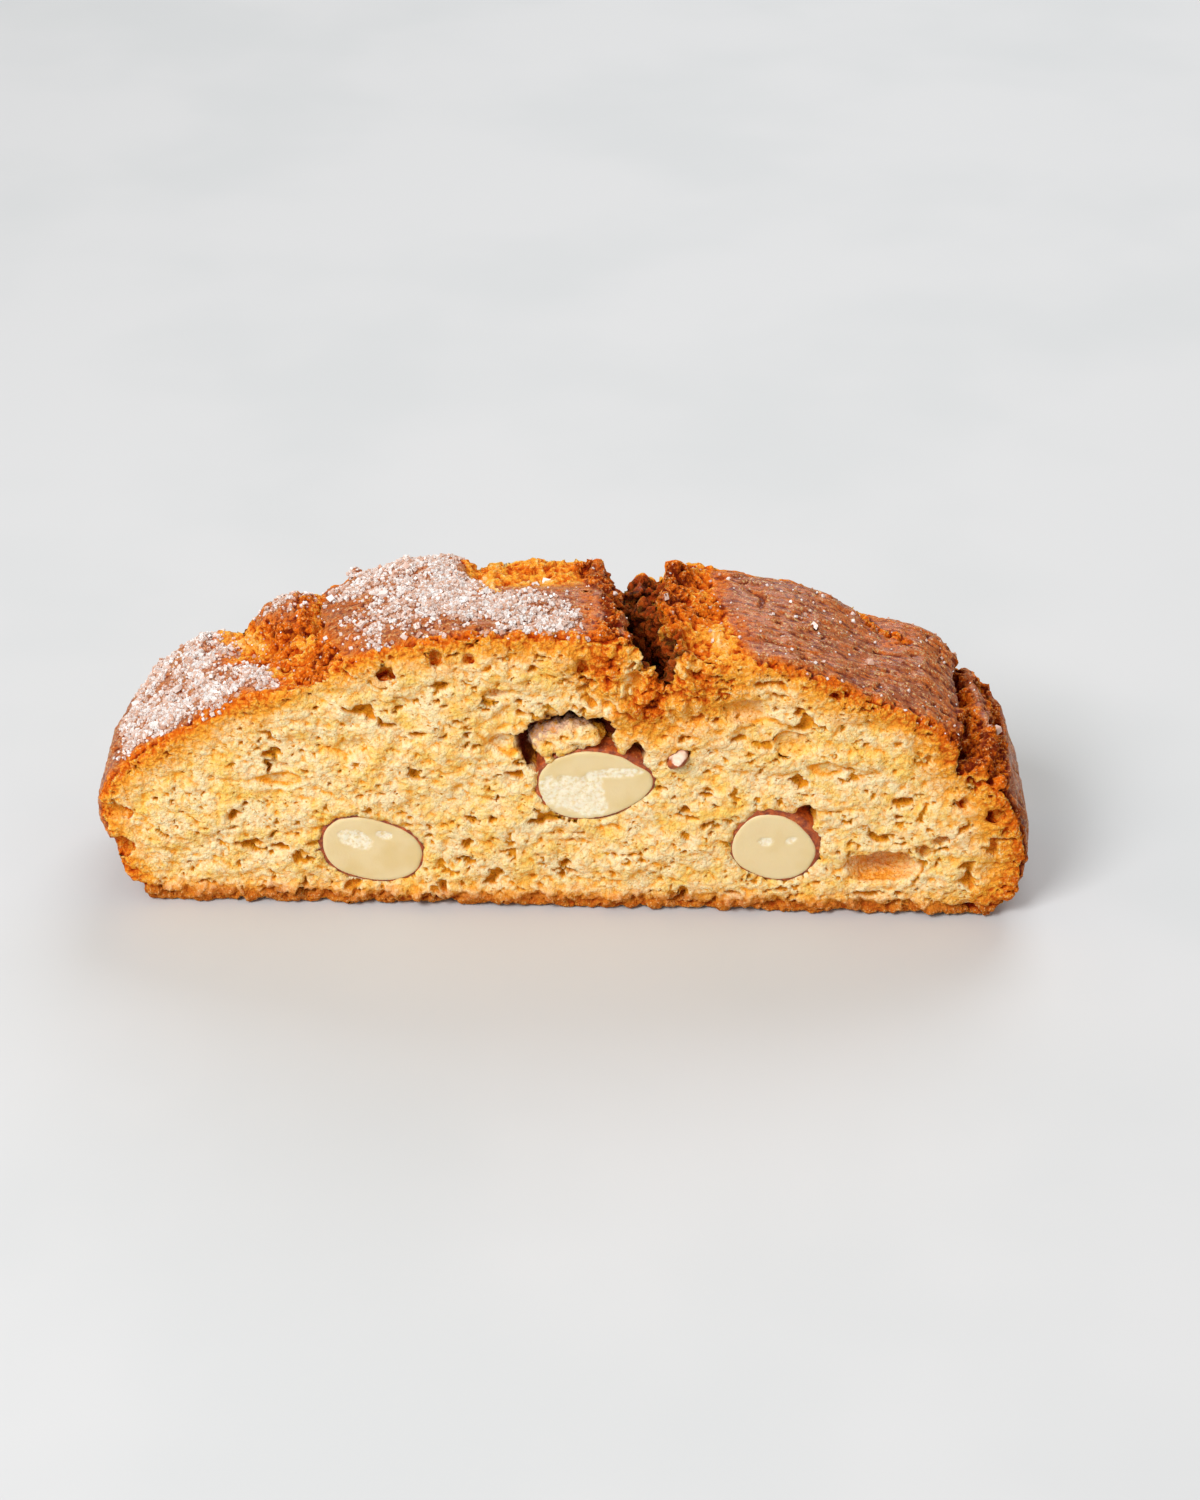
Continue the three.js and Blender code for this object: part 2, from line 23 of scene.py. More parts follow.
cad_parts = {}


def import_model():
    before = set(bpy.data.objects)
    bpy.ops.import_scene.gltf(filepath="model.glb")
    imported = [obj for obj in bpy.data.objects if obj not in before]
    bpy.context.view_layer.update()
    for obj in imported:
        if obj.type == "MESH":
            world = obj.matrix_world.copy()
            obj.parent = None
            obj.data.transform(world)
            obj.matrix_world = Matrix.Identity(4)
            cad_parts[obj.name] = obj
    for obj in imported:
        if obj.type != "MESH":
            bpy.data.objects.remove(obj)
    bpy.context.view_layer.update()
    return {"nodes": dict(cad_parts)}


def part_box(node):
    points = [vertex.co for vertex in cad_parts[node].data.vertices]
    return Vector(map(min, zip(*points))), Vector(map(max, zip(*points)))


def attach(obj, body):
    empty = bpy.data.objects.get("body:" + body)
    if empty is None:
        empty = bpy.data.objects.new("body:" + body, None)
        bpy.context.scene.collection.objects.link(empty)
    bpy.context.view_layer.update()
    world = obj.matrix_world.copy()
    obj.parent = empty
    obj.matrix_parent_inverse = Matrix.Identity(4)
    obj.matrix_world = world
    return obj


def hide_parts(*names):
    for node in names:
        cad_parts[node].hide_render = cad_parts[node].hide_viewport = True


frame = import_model()

MM = 0.001
HALF_THICKNESS = 10.5
OFF_OUTLINE = 999.0  # stands for how far along the outline a place on the base lies
BODY = "root"

Colour: TypeAlias = tuple[float, float, float, float]


class Side(Enum):
    """A half of the slice, by the sign of Y that it lies on."""

    FRONT = -1
    BACK = 1


@dataclass(frozen=True)
class Oval:
    """An oval in millimetres, round a middle at x and z on a cut face, or at run and y on the crust."""

    u: float
    v: float
    half_width: float
    half_height: float

    def reach(self, u: np.ndarray, v: np.ndarray) -> np.ndarray:
        """The square of how far out each place lies: 0 at the oval's middle and 1 on the oval."""
        return ((u - self.u) / self.half_width) ** 2 + ((v - self.v) / self.half_height) ** 2


# The section's outline from the left end of the base, over the crest, to the right end: (x, z).
OUTLINE = (
    (-49.3, 0), (-51.9, 2.6), (-54, 7), (-55.2, 12.2), (-53.6, 17), (-49.4, 21.2),
    (-42.5, 25.6), (-33.5, 30.4), (-24.5, 34.4), (-15, 37), (-5, 38), (5, 37.8),
    (15, 36.6), (25, 34.4), (35, 30.6), (43, 26.4), (48.8, 21.4), (52.8, 15.8),
    (54.8, 9.6), (54.2, 4), (51, 0.6), (48.5, 0),
)  # fmt: skip

# The split at the crest, front to back: y, the left lip's x, the floor's x and the right lip's x.
SPLIT_Y = (-12, -9.6, -7, -3.4, 0.6, 5, 12)
SPLIT_LEFT = (4.2, 5.6, 6.3, 5.9, 5.3, 3.7, 1)
SPLIT_FLOOR = (13.2, 12, 10, 9, 8.4, 8, 7.2)
SPLIT_RIGHT = (17.2, 14.8, 13.2, 12.1, 11.9, 13.4, 16.4)

# Where the crust has torn open, as paths of (run, y, half width).
TORN_PATHS = (
    ((-45, 11, 2.6), (-41, 3.4, 3.4), (-34, -3, 5), (-29, -11, 4.6)),
    ((-31.6, 12, 1.5), (-31.2, 6, 1.5), (-30.6, 0, 1.4), (-28, -8, 1.2)),
    ((-11.2, 12, 2), (-10.7, 6, 1.6), (-9.6, 1.5, 1.2), (-7.6, -3, 0.8)),
    ((14.2, 11, 2.8), (14.6, 0, 3.6), (16.8, -11, 5.2)),
    ((1.4, 11, 0.8), (5, 0.6, 0.9), (5.8, -5, 0.9), (5.4, -9, 1.1), (4.4, -11, 1.5)),
    ((48.6, 12, 1.6), (49.2, 6, 1.7), (49.9, 0, 1.8), (50.5, -6, 2), (51.6, -12, 2.4)),
    ((52.4, 12, 1.6), (53.8, 6, 2), (55, 1, 1.8), (54.2, -5, 2), (55.4, -12, 1.6)),
    ((41, 3.6, 0.5), (36.4, 6.2, 0.6), (34.6, 12, 0.9)),
)

# Places on the front face. GAP is the ragged one above the middle almond, with the crumb that clings in it,
# PRINT the smooth print of an almond, and LOW_POCKET has a crease through it. What browned has its most.
GAP = Oval(1.4, 24.4, 6.4, 4.4)
GAP_ROOF = Oval(1.4, 28.4, 7.5, 2.6)
CLINGING = Oval(0.6, 22.9, 5.0, 2.7)
CLINGING_UNSTAINED = Oval(0.6, 22.6, 4.6, 2.6)
CLINGING_DUSTED = Oval(0.2, 23.4, 5.4, 2.9)
PRINT = Oval(37.4, 6.7, 4.4, 2.6)
LOW_POCKET = Oval(-8, 18.2, 4.8, 2.5)
POCKETS = (
    Oval(23.2, 25.2, 3.6, 2.2), Oval(-6.6, 22.8, 1.8, 1.5),
    Oval(30.6, 20.4, 2.2, 1.2), Oval(-33, 17.5, 2.6, 1.1),
)  # fmt: skip
# almond-skin stain and painted shade, in and round the gap above the middle almond
STAIN_AND_SHADE = (Oval(1.0, 25.2, 6.2, 3.4), Oval(-3.6, 22.3, 2.4, 3.4), Oval(8.8, 22.6, 2, 2))
BROWNED = (
    (0.3, Oval(16, 36, 13, 8)), (0.64, Oval(14, 33, 7.5, 7)),
    (0.6, Oval(5, 34, 4.5, 4.5)), (0.55, Oval(10, 28.5, 5, 4.5)),
)  # fmt: skip

# Places on the crust: where it has sunk behind the split, and where the sugar has rubbed off.
SUNK = Oval(-3.5, 11, 7.5, 7.5)
RUBBED = Oval(-14.5, -8.0, 6.0, 2.8)

# Sugared parts of the crust, as outlines in (run, y).
SUGARED = (
    ((-58, -11), (-56, 11), (-46, 11), (-43.5, 3), (-38, -3.5), (-33.5, -11)),
    ((-29, 4), (-26, 11), (-13.5, 11), (-11, 2), (-0.5, -2), (3.5, -8), (2, -11), (-17, -11), (-25, -8)),
    ((-37, 5), (-36.5, 11), (-32.5, 11), (-32.5, 5)),
)


# ---------------------------------------------------------------- noise


def lattice(i: np.ndarray, j: np.ndarray, k: np.ndarray, draw: float = 0.0) -> np.ndarray:
    """A number from 0 to 1 for each lattice point, the same on every run and another for each draw."""
    s = np.sin(i * 127.1 + j * 311.7 + k * 74.7 + draw * 53.3) * 43758.5453
    return s - np.floor(s)


def waves(p: np.ndarray, size: float | Sequence[float], seed: float = 0.0) -> np.ndarray:
    """Smooth noise.

    Args:
        p: places, one in each row.
        size: length of a wave, or one length for each axis.
        seed: moves the pattern.

    Returns:
        A number from -1 to 1 for each place.
    """
    q = p / np.asarray(size, float) + seed
    cell = np.floor(q)
    f = q - cell
    f = f * f * (3 - 2 * f)
    total = np.zeros(len(p))
    for a in (0, 1):
        for b in (0, 1):
            for c in (0, 1):
                corner = lattice(cell[:, 0] + a, cell[:, 1] + b, cell[:, 2] + c)
                weight = np.abs(1 - a - f[:, 0]) * np.abs(1 - b - f[:, 1]) * np.abs(1 - c - f[:, 2])
                total += corner * weight
    return 2 * total - 1


def clumps(p: np.ndarray, size: float | Sequence[float], seed: float = 0.0) -> np.ndarray:
    """Rounded lumps that press against each other, as baked dough's do.

    Args:
        p: places, one in each row.
        size: width of a lump, or one width for each axis.
        seed: moves the pattern.

    Returns:
        Height of the lumps for each place, about 1 on a lump's top and 0 where two meet.
    """
    q = p / np.asarray(size, float) + seed
    cell = np.floor(q)
    nearest = np.full(len(p), 9.0)
    for a in (-1, 0, 1):
        for b in (-1, 0, 1):
            for c in (-1, 0, 1):
                i, j, k = cell[:, 0] + a, cell[:, 1] + b, cell[:, 2] + c
                centre = np.stack([i + lattice(i, j, k), j + lattice(i, j, k, 1), k + lattice(i, j, k, 2)], 1)
                nearest = np.minimum(nearest, ((q - centre) ** 2).sum(1))
    return np.clip(1 - nearest / 0.8, 0, 1)


def holes(
    p: np.ndarray, size: float | Sequence[float], open_from: float, seed: float = 0.0, wall: float = 0.38
) -> np.ndarray:
    """Ragged gas holes that run into each other.

    Args:
        p: places, one in each row.
        size: width of the holes, or one width for each axis.
        open_from: height of the noise from which a hole opens; fewer holes when higher.
        seed: moves the pattern.
        wall: how gently a hole's wall slopes.

    Returns:
        Depth for each place, from 0 outside holes to 1 in the deepest.
    """
    size = np.asarray(size, float) * np.ones(3)
    height = waves(p, size, seed) + 0.5 * waves(p, size * 0.42, seed + 5)
    height = height + 0.22 * waves(p, size * 0.18, seed + 9)
    return ease(open_from, open_from + wall, height)


def ease(low: float, high: float, t: np.ndarray) -> np.ndarray:
    """A smooth step from 0 at low to 1 at high; low may be the larger."""
    u = np.clip((t - low) / (high - low), 0, 1)
    return u * u * (3 - 2 * u)


# ---------------------------------------------------------------- shader graphs


Value: TypeAlias = "Wire | float"


class Blend(Enum):
    """How one colour is laid over another."""

    MIX = "MIX"
    MULTIPLY = "MULTIPLY"


class Wire:
    """A shader socket that Python's operators work on, each adding the Math node that it needs."""

    def __init__(self, graph: Graph, socket: bpy.types.NodeSocket) -> None:
        """Wraps one output socket of a graph."""
        self.graph = graph
        self.socket = socket

    def _math(self, operation: str, *values: Value) -> Wire:
        """One Math node on the values."""
        return self.graph.node("ShaderNodeMath", {"operation": operation}, dict(enumerate(values)))

    def __add__(self, other: Value) -> Wire:
        """self + other."""
        return self._math("ADD", self, other)

    __radd__ = __add__

    def __sub__(self, other: Value) -> Wire:
        """self - other."""
        return self._math("SUBTRACT", self, other)

    def __rsub__(self, other: Value) -> Wire:
        """other - self."""
        return self._math("SUBTRACT", other, self)

    def __mul__(self, other: Value) -> Wire:
        """self * other."""
        return self._math("MULTIPLY", self, other)

    __rmul__ = __mul__

    def step(self, low: float, high: float) -> Wire:
        """A smooth step.

        Args:
            low: the value that gives 0.
            high: the value that gives 1.

        Returns:
            The step.
        """
        settings = {"interpolation_type": "SMOOTHSTEP"}
        inputs = {"Value": self, "From Min": low, "From Max": high}
        return self.graph.node("ShaderNodeMapRange", settings, inputs)


class Graph:
    """A material's node graph, written as expressions."""

    def __init__(self, name: str) -> None:
        """Starts a material with one Principled shader.

        Args:
            name: the material's name.
        """
        self.material = bpy.data.materials.new(name)
        self.material.use_nodes = True
        self.nodes = self.material.node_tree.nodes
        self.links = self.material.node_tree.links
        self.shader = self.nodes["Principled BSDF"]

    def node(
        self,
        kind: str,
        settings: dict[str, object] | None = None,
        inputs: dict[str | int, object] | None = None,
        output: str | int = 0,
    ) -> Wire:
        """Adds one node.

        Args:
            kind: the node's type.
            settings: its own settings, set before its sockets.
            inputs: a value or a Wire for each socket, by name or number.
            output: the socket to hand back, by name or number.

        Returns:
            That output socket.
        """
        node = self.nodes.new(kind)
        for key, value in (settings or {}).items():
            setattr(node, key, value)
        self.fill(node, inputs or {})
        return Wire(self, node.outputs[output])

    def fill(self, node: bpy.types.Node, inputs: dict[str | int, object]) -> None:
        """Sets or links a node's sockets.

        Args:
            node: the node.
            inputs: a value or a Wire for each socket, by name or number.
        """
        for key, value in inputs.items():
            if isinstance(value, Wire):
                self.links.new(value.socket, node.inputs[key])
            else:
                node.inputs[key].default_value = value

    def place(self) -> Wire:
        """The place on the object, in metres."""
        return self.node("ShaderNodeTexCoord", output="Object")

    def attribute(self, name: str) -> Wire:
        """A number that the mesh carries at its points."""
        return self.node("ShaderNodeAttribute", {"attribute_name": name}, output="Fac")

    def grain(
        self,
        size: float,
        detail: float = 3.0,
        rough: float = 0.55,
        seed: float = 0.0,
        squeeze: tuple[float, float, float] = (1.0, 1.0, 1.0),
    ) -> Wire:
        """Noise, from about 0.3 to 0.7.

        Args:
            size: length of a wave in millimetres.
            detail: how many finer layers lie over it.
            rough: how strong the finer layers are.
            seed: another draw of the pattern.
            squeeze: how much shorter the waves are along each axis.

        Returns:
            The noise.
        """
        settings = {"noise_dimensions": "4D"}
        place = self.node("ShaderNodeVectorMath", {"operation": "MULTIPLY"}, {0: self.place(), 1: squeeze})
        inputs = {"Vector": place, "W": seed, "Scale": 1 / (size * MM), "Detail": detail, "Roughness": rough}
        return self.node("ShaderNodeTexNoise", settings, inputs)

    def cells(self, size: float, wander: float) -> Wire:
        """Granules pressed against each other.

        Args:
            size: a granule's width in millimetres.
            wander: how far its edge is bent out of round.

        Returns:
            0 at a granule's middle, up to 1 far from any.
        """
        inputs = {"Vector": self.place(), "Scale": 1 / (1.3 * size * MM), "Detail": 1.0}
        noise = self.node("ShaderNodeTexNoise", {}, inputs, output="Color")
        bend = {0: noise, 1: (2 * wander * MM,) * 3, 2: self.place()}
        bent = self.node("ShaderNodeVectorMath", {"operation": "MULTIPLY_ADD"}, bend)
        inputs = {"Vector": bent, "Scale": 1 / (size * MM), "Randomness": 1.0}
        return self.node("ShaderNodeTexVoronoi", {"feature": "F1"}, inputs, output="Distance")

    def mix(self, amount: Value, a: Wire | Colour, b: Wire | Colour) -> Wire:
        """A colour between a, at 0, and b, at 1."""
        return self.blend(Blend.MIX, amount, a, b)

    def blend(self, way: Blend, amount: Value, a: Wire | Colour, b: Wire | Colour) -> Wire:
        """The colour a with b laid over it by an amount."""
        settings = {"data_type": "RGBA", "blend_type": way.value}
        return self.node("ShaderNodeMix", settings, {0: amount, 6: a, 7: b}, output=2)

    def bump(self, height: Wire, depth: float, strength: float) -> Wire:
        """A bumped normal from a height, whose full range is depth millimetres."""
        inputs = {"Height": height, "Distance": depth * MM, "Strength": strength}
        return self.node("ShaderNodeBump", {}, inputs)

    def finish(self, **inputs: object) -> bpy.types.Material:
        """Sets the shader's sockets, named with underscores for spaces, and hands the material over."""
        self.fill(self.shader, {name.replace("_", " "): value for name, value in inputs.items()})
        return self.material


def paint(red: int, green: int, blue: int) -> Colour:
    """A colour from its sRGB numbers, 0 to 255, as a shader wants it."""
    linear = [c / 255 / 12.92 if c <= 10 else ((c / 255 + 0.055) / 1.055) ** 2.4 for c in (red, green, blue)]
    return (*linear, 1.0)


class DoughPattern:
    """The patterns that the dough's colours and bumps share."""

    def __init__(self, g: Graph) -> None:
        """Adds the patterns to a material.

        Args:
            g: the material's graph.
        """
        self.speck = g.grain(0.8, 3, 0.65, 2)
        self.fine = g.grain(0.3, 2, 0.6, 3)
        self.grit = g.cells(0.62, 0.35)
        self.dust = g.cells(0.34, 0.2)
        self.streak = g.grain(1.7, 4, 0.68, 13, (0.8, 4.2, 0.8))
        self.pinhole = g.grain(0.6, 2, 0.5, 4, (1.0, 1.0, 1.7)).step(0.65, 0.71)
        # between granules, where the finish darkens and warms the colour as painted shade
        self.crevice = self.grit.step(0.42, 0.75) * 0.6 + self.dust.step(0.5, 0.8) * 0.3
        self.cavity = g.attribute("cavity")
        self.glaze = g.attribute("glaze")
        self.strong = g.attribute("bake").step(0.1, 0.5)


@dataclass(frozen=True)
class DoughFinish:
    """Golden crumb that bakes to orange at its edges, and to a satin red-brown crust."""

    cream: Colour = paint(254, 230, 184)
    yellow: Colour = paint(255, 209, 108)
    # painted shade: pores and recesses behind the cut face darken to pore, and to deep at their bottoms
    pore: Colour = paint(226, 152, 34)
    deep: Colour = paint(160, 92, 18)
    # painted shade: the warm gold that the crumb is multiplied by where it would lie in shade
    painted_shade_gold: Colour = paint(255, 198, 96)
    amber: Colour = paint(248, 170, 54)
    orange: Colour = paint(228, 114, 16)
    brown: Colour = paint(128, 44, 4)
    crust: Colour = paint(200, 108, 42)
    # painted sheen: a reflection painted into the crust's colour
    sheen: Colour = paint(168, 92, 54)
    # painted highlight: the granules' tops, and glints on the crust
    painted_highlight: Colour = paint(255, 226, 160)
    shade: Colour = paint(196, 96, 12)
    dusting: Colour = paint(212, 170, 142)
    # painted shade for the pit down in the split, where no light gets
    pit_shade_dark: Colour = paint(36, 8, 3)
    pit_shade_brown: Colour = paint(154, 54, 10)
    # the almond skin's stain, with painted shade in and round the gap above the middle almond
    almond_stain_and_shade: Colour = paint(84, 24, 6)
    sugared: Colour = paint(214, 150, 112)
    base: Colour = paint(192, 104, 28)

    def material(self) -> bpy.types.Material:
        """The finish, which reads what the mesh carries at its points.

        Returns:
            The material.
        """
        g = Graph("dough")
        t = DoughPattern(g)
        colour = g.mix(t.glaze * (0.75 + 0.25 * t.fine), self.baked(g, t), self.skin(g, t))
        return g.finish(
            Base_Color=self.marked(g, t, colour),
            Roughness=0.85 - 0.45 * t.glaze + 0.2 * t.speck * t.glaze,
            Coat_Weight=0.5 * t.glaze,
            Coat_Roughness=0.28,
            Specular_IOR_Level=0.08,
            Normal=g.bump(self.height(t), 0.36, 1.0),
            Subsurface_Weight=0.5,
            Subsurface_Radius=(1.0, 0.92, 0.75),
            Subsurface_Scale=0.0007,
        )

    def crumb(self, g: Graph, t: DoughPattern) -> Wire:
        """Colours the crumb, with painted shade between its granules, in its hollows and pores, and on sides
        turned from the key light.

        Args:
            g: the material's graph.
            t: its patterns.

        Returns:
            The colour.
        """
        patch = g.grain(3.4, 3, 0.6, 1)
        # cream and yellow patches at random, a little more yellow in hollows and between granules as painted
        # shade
        tone = (patch - 0.5) * 1.3 + (t.speck - 0.5) * 0.4 + (t.cavity - 0.5) * 0.3 + t.crevice * 0.06
        crumb = g.mix(tone.step(-0.2, 0.26), self.cream, self.yellow)
        # painted shade: warm gold in hollows, between granules and on sides turned from the key light
        painted_shade = (t.cavity - 0.5).step(0.0, 0.35) * 0.7 + t.crevice * 0.45 + g.attribute("painted_key_shade") * 0.55
        crumb = g.blend(Blend.MULTIPLY, painted_shade.step(-0.1, 1.1), crumb, self.painted_shade_gold)
        # painted shade in pores, pinholes and recesses behind the cut face, darkest at their bottoms
        hollow = g.attribute("hollow")
        pore = g.attribute("pore") + t.pinhole * (0.5 + 0.4 * t.cavity)
        pore = pore + (t.cavity - 0.75).step(0.0, 0.4) * 0.4
        crumb = g.mix((pore + hollow).step(0.0, 0.6), crumb, self.pore)
        return g.mix((hollow + pore * 0.5 + (t.fine - 0.5) * 0.6).step(0.56, 0.9), crumb, self.deep)

    def baked(self, g: Graph, t: DoughPattern) -> Wire:
        """Browns the crumb as it bakes, with painted highlights on its granules' tops and painted shade in
        its hollows and between its granules.

        Args:
            g: the material's graph.
            t: its patterns.

        Returns:
            The colour.
        """
        # partly painted shade: the browning runs darker in hollows and between granules, along with random
        # specks
        vary = (t.cavity - 0.5) * 0.42 + (t.crevice - 0.3) * 0.34 + (t.speck - 0.5) * 0.6
        bake = g.attribute("bake") + vary * (0.2 + 0.6 * t.strong)
        baked = g.mix(bake.step(0.0, 0.34), self.crumb(g, t), self.amber)
        baked = g.mix(bake.step(0.3, 0.68), baked, self.orange)
        baked = g.mix(bake.step(0.68, 1.05), baked, self.brown)
        baked = g.mix(g.attribute("base") * (1.25 - 0.8 * t.speck), baked, self.base)
        # painted highlight on the granules' tops
        light = (0.56 - t.cavity).step(0.0, 0.3) * (1 - t.dust).step(0.6, 0.8)
        baked = g.mix(light * (0.34 + 0.08 * t.strong), baked, self.painted_highlight)
        # painted shade in hollows and between granules, stronger where the crumb has browned
        dark = (t.cavity - 0.5).step(0.0, 0.4) * t.strong * 0.6 + t.crevice * (0.15 + 0.28 * t.strong)
        return g.blend(Blend.MULTIPLY, dark, baked, self.shade)

    def skin(self, g: Graph, t: DoughPattern) -> Wire:
        """Colours the satin crust, streaked along the slice, with patches of painted sheen and painted
        glints.

        Args:
            g: the material's graph.
            t: its patterns.

        Returns:
            The colour.
        """
        # painted sheen: patches of the sheen colour over the crust
        skin = g.mix(g.grain(3, 4, 0.6, 5).step(0.38, 0.62), self.crust, self.sheen)
        # the crust's own streaks, with painted light: orange on the ridges that the streaks bump up
        skin = g.mix((t.streak - 0.52).step(0.0, 0.1) * 0.75, skin, self.orange)
        # painted shade: brown in the streaks' valleys, in hollows and between granules
        browned = (0.5 - t.streak) * 1.5 + (t.cavity - 0.5) * 0.8 + t.crevice * 0.3
        skin = g.mix(browned.step(0.05, 0.35), skin, self.brown)
        # painted glints on the crust's raised specks
        painted_glints = (t.fine + t.dust * 0.3).step(0.7, 0.8) * (0.62 - t.cavity).step(0.0, 0.2) * 0.6
        return g.mix(painted_glints, skin, self.painted_highlight)

    def marked(self, g: Graph, t: DoughPattern, colour: Wire) -> Wire:
        """Lays over the dough what the almonds and the sugar leave on it, with painted shade round the gap
        above the middle almond and down in the split.

        Args:
            g: the material's graph.
            t: its patterns.
            colour: the dough's colour so far.

        Returns:
            The colour.
        """
        # the almond skin's stain together with painted shade round the gap above the middle almond
        colour = g.mix(g.attribute("almond_stain_and_shade"), colour, self.almond_stain_and_shade)
        colour = g.mix(g.attribute("dusting") * t.speck.step(0.36, 0.56), colour, self.dusting)
        # painted shade down in the split: near black, mottled with dark brown
        pit_shade = g.mix((t.speck - t.cavity * 0.3).step(0.24, 0.5), self.pit_shade_dark, self.pit_shade_brown)
        colour = g.mix(g.attribute("pit"), colour, pit_shade)
        return g.mix(g.attribute("dust") * (t.speck + t.fine).step(0.85, 1.1) * 0.6, colour, self.sugared)

    def height(self, t: DoughPattern) -> Wire:
        """Raises granules on the crumb and streaks on the crust.

        Args:
            t: the material's patterns.

        Returns:
            The height for the bumps.
        """
        loose = 0.56 + 0.54 * t.strong
        granules = (1 - t.grit) + (1 - t.dust) * 0.6
        height = granules * (loose - 0.5 * t.glaze) + t.fine * 0.4 + t.streak * t.glaze * 3.6
        return height - t.pinhole * 0.5 * (1 - t.glaze)


@dataclass(frozen=True)
class KernelFinish:
    """A cut almond kernel: smooth cream, faintly streaked, paler where it has chipped."""

    cream: Colour = paint(232, 209, 160)
    warm: Colour = paint(225, 198, 140)
    chipped: Colour = paint(246, 236, 210)

    def material(self) -> bpy.types.Material:
        """The finish, which reads chip from the mesh.

        Returns:
            The material.
        """
        g = Graph("almond_kernel")
        cloud = g.grain(4, 2, 0.5, 6)
        streak = g.grain(0.5, 3, 0.6, 7)
        body = g.mix(cloud.step(0.35, 0.7), self.cream, self.warm)
        chip = g.attribute("chip")
        colour = g.mix(chip * streak.step(0.3, 0.6), body, self.chipped)
        return g.finish(
            Base_Color=colour,
            Roughness=0.46 + 0.3 * chip,
            Normal=g.bump(streak + chip * g.grain(0.25, 2, 0.6, 8), 0.1, 0.35),
            Subsurface_Weight=0.25,
            Subsurface_Radius=(1.0, 0.7, 0.35),
            Subsurface_Scale=0.0015,
        )


@dataclass(frozen=True)
class SkinFinish:
    """An almond's thin skin: red-brown, wrinkled along its length."""

    red: Colour = paint(190, 88, 28)
    dark: Colour = paint(122, 46, 20)
    dusty: Colour = paint(206, 132, 74)
    crumbs: Colour = paint(238, 212, 192)

    def material(self) -> bpy.types.Material:
        """The finish, which reads dusty from the mesh.

        Returns:
            The material.
        """
        g = Graph("almond_skin")
        wrinkle = g.grain(0.8, 4, 0.65, 9)
        body = g.mix(wrinkle.step(0.35, 0.65), self.dark, self.red)
        body = g.mix(g.grain(0.4, 2, 0.6, 10).step(0.56, 0.7) * 0.6, body, self.dusty)
        colour = g.mix(g.attribute("dusty"), body, self.crumbs)
        return g.finish(Base_Color=colour, Roughness=0.55, Coat_Weight=0.1, Normal=g.bump(wrinkle, 0.2, 0.6))


@dataclass(frozen=True)
class SugarFinish:
    """White sugar: clear at its edges, with a little of the crust's warmth in it."""

    white: Colour = paint(243, 237, 234)
    warm: Colour = paint(208, 164, 142)

    def material(self) -> bpy.types.Material:
        """The finish, which reads tint, each crystal's own, from the mesh.

        Returns:
            The material.
        """
        g = Graph("sugar")
        tint = g.attribute("tint") + (g.grain(2.5, 2, 0.5, 11) - 0.5)
        return g.finish(
            Base_Color=g.mix(tint.step(0.1, 0.95), self.warm, self.white),
            Roughness=0.2,
            Subsurface_Weight=0.4,
            Subsurface_Radius=(1.0, 0.9, 0.8),
            Subsurface_Scale=0.0004,
            Normal=g.bump(g.grain(0.2, 1, 0.5, 12), 0.05, 0.4),
        )


# ---------------------------------------------------------------- the section


class Section:
    """The slice's section: where a place lies in from its outline, and how far along it."""

    samples: int = 2401
    base_samples: int = 200

    def __init__(self, outline: Sequence[tuple[float, float]]) -> None:
        """Samples the curve through the outline's points.

        Args:
            outline: the points, as (x, z) in millimetres.
        """
        points = np.array(outline, float)
        ends = np.vstack([points[:1], points, points[-1:]])
        t = np.linspace(0, len(points) - 1, self.samples)
        i = np.minimum(t.astype(int), len(points) - 2)
        f = (t - i)[:, None]
        a, b, c, d = (ends[i + k] for k in range(4))
        second, third = 2 * a - 5 * b + 4 * c - d, 3 * b - a - 3 * c + d
        curve = 0.5 * (2 * b + (c - a) * f + second * f**2 + third * f**3)
        length = np.concatenate([[0], np.cumsum(np.linalg.norm(np.diff(curve, axis=0), axis=1))])
        self.run = length - np.interp(0.0, curve[:, 0], length)
        tangent = np.gradient(curve, axis=0)
        tangent /= np.linalg.norm(tangent, axis=1)[:, None]
        self.curve = curve
        self.out = np.stack([-tangent[:, 1], tangent[:, 0]], 1)
        base_x = np.linspace(points[-1, 0], points[0, 0], self.base_samples)[1:-1]
        self.tree = KDTree(len(curve) + len(base_x))
        for n, (x, z) in enumerate(curve):
            self.tree.insert((x, 0, z), n)
        for n, x in enumerate(base_x):
            self.tree.insert((x, 0, 0), len(curve) + n)
        self.tree.balance()

    def locate(self, p: np.ndarray) -> tuple[np.ndarray, np.ndarray, np.ndarray]:
        """Finds places in the section.

        Args:
            p: places in millimetres, one in each row.

        Returns:
            How far along the outline each lies, how far in from it, and its outward direction.
        """
        found = [self.tree.find((x, 0, z))[1] for x, _, z in p]
        n = np.array(found)
        base = n >= len(self.curve)
        arch = np.where(base, 0, n)
        foot = np.where(base[:, None], np.stack([p[:, 0], 0 * p[:, 0]], 1), self.curve[arch])
        out = np.where(base[:, None], [0.0, -1.0], self.out[arch])
        inset = -((p[:, [0, 2]] - foot) * out).sum(1)
        run = np.where(base, np.nan, self.run[arch])
        return run, inset, out

    def at(self, run: np.ndarray) -> tuple[np.ndarray, np.ndarray]:
        """Finds places on the outline.

        Args:
            run: how far along it each lies.

        Returns:
            The point and the outward direction at each.
        """
        point = np.stack([np.interp(run, self.run, self.curve[:, k]) for k in (0, 1)], 1)
        out = np.stack([np.interp(run, self.run, self.out[:, k]) for k in (0, 1)], 1)
        return point, out


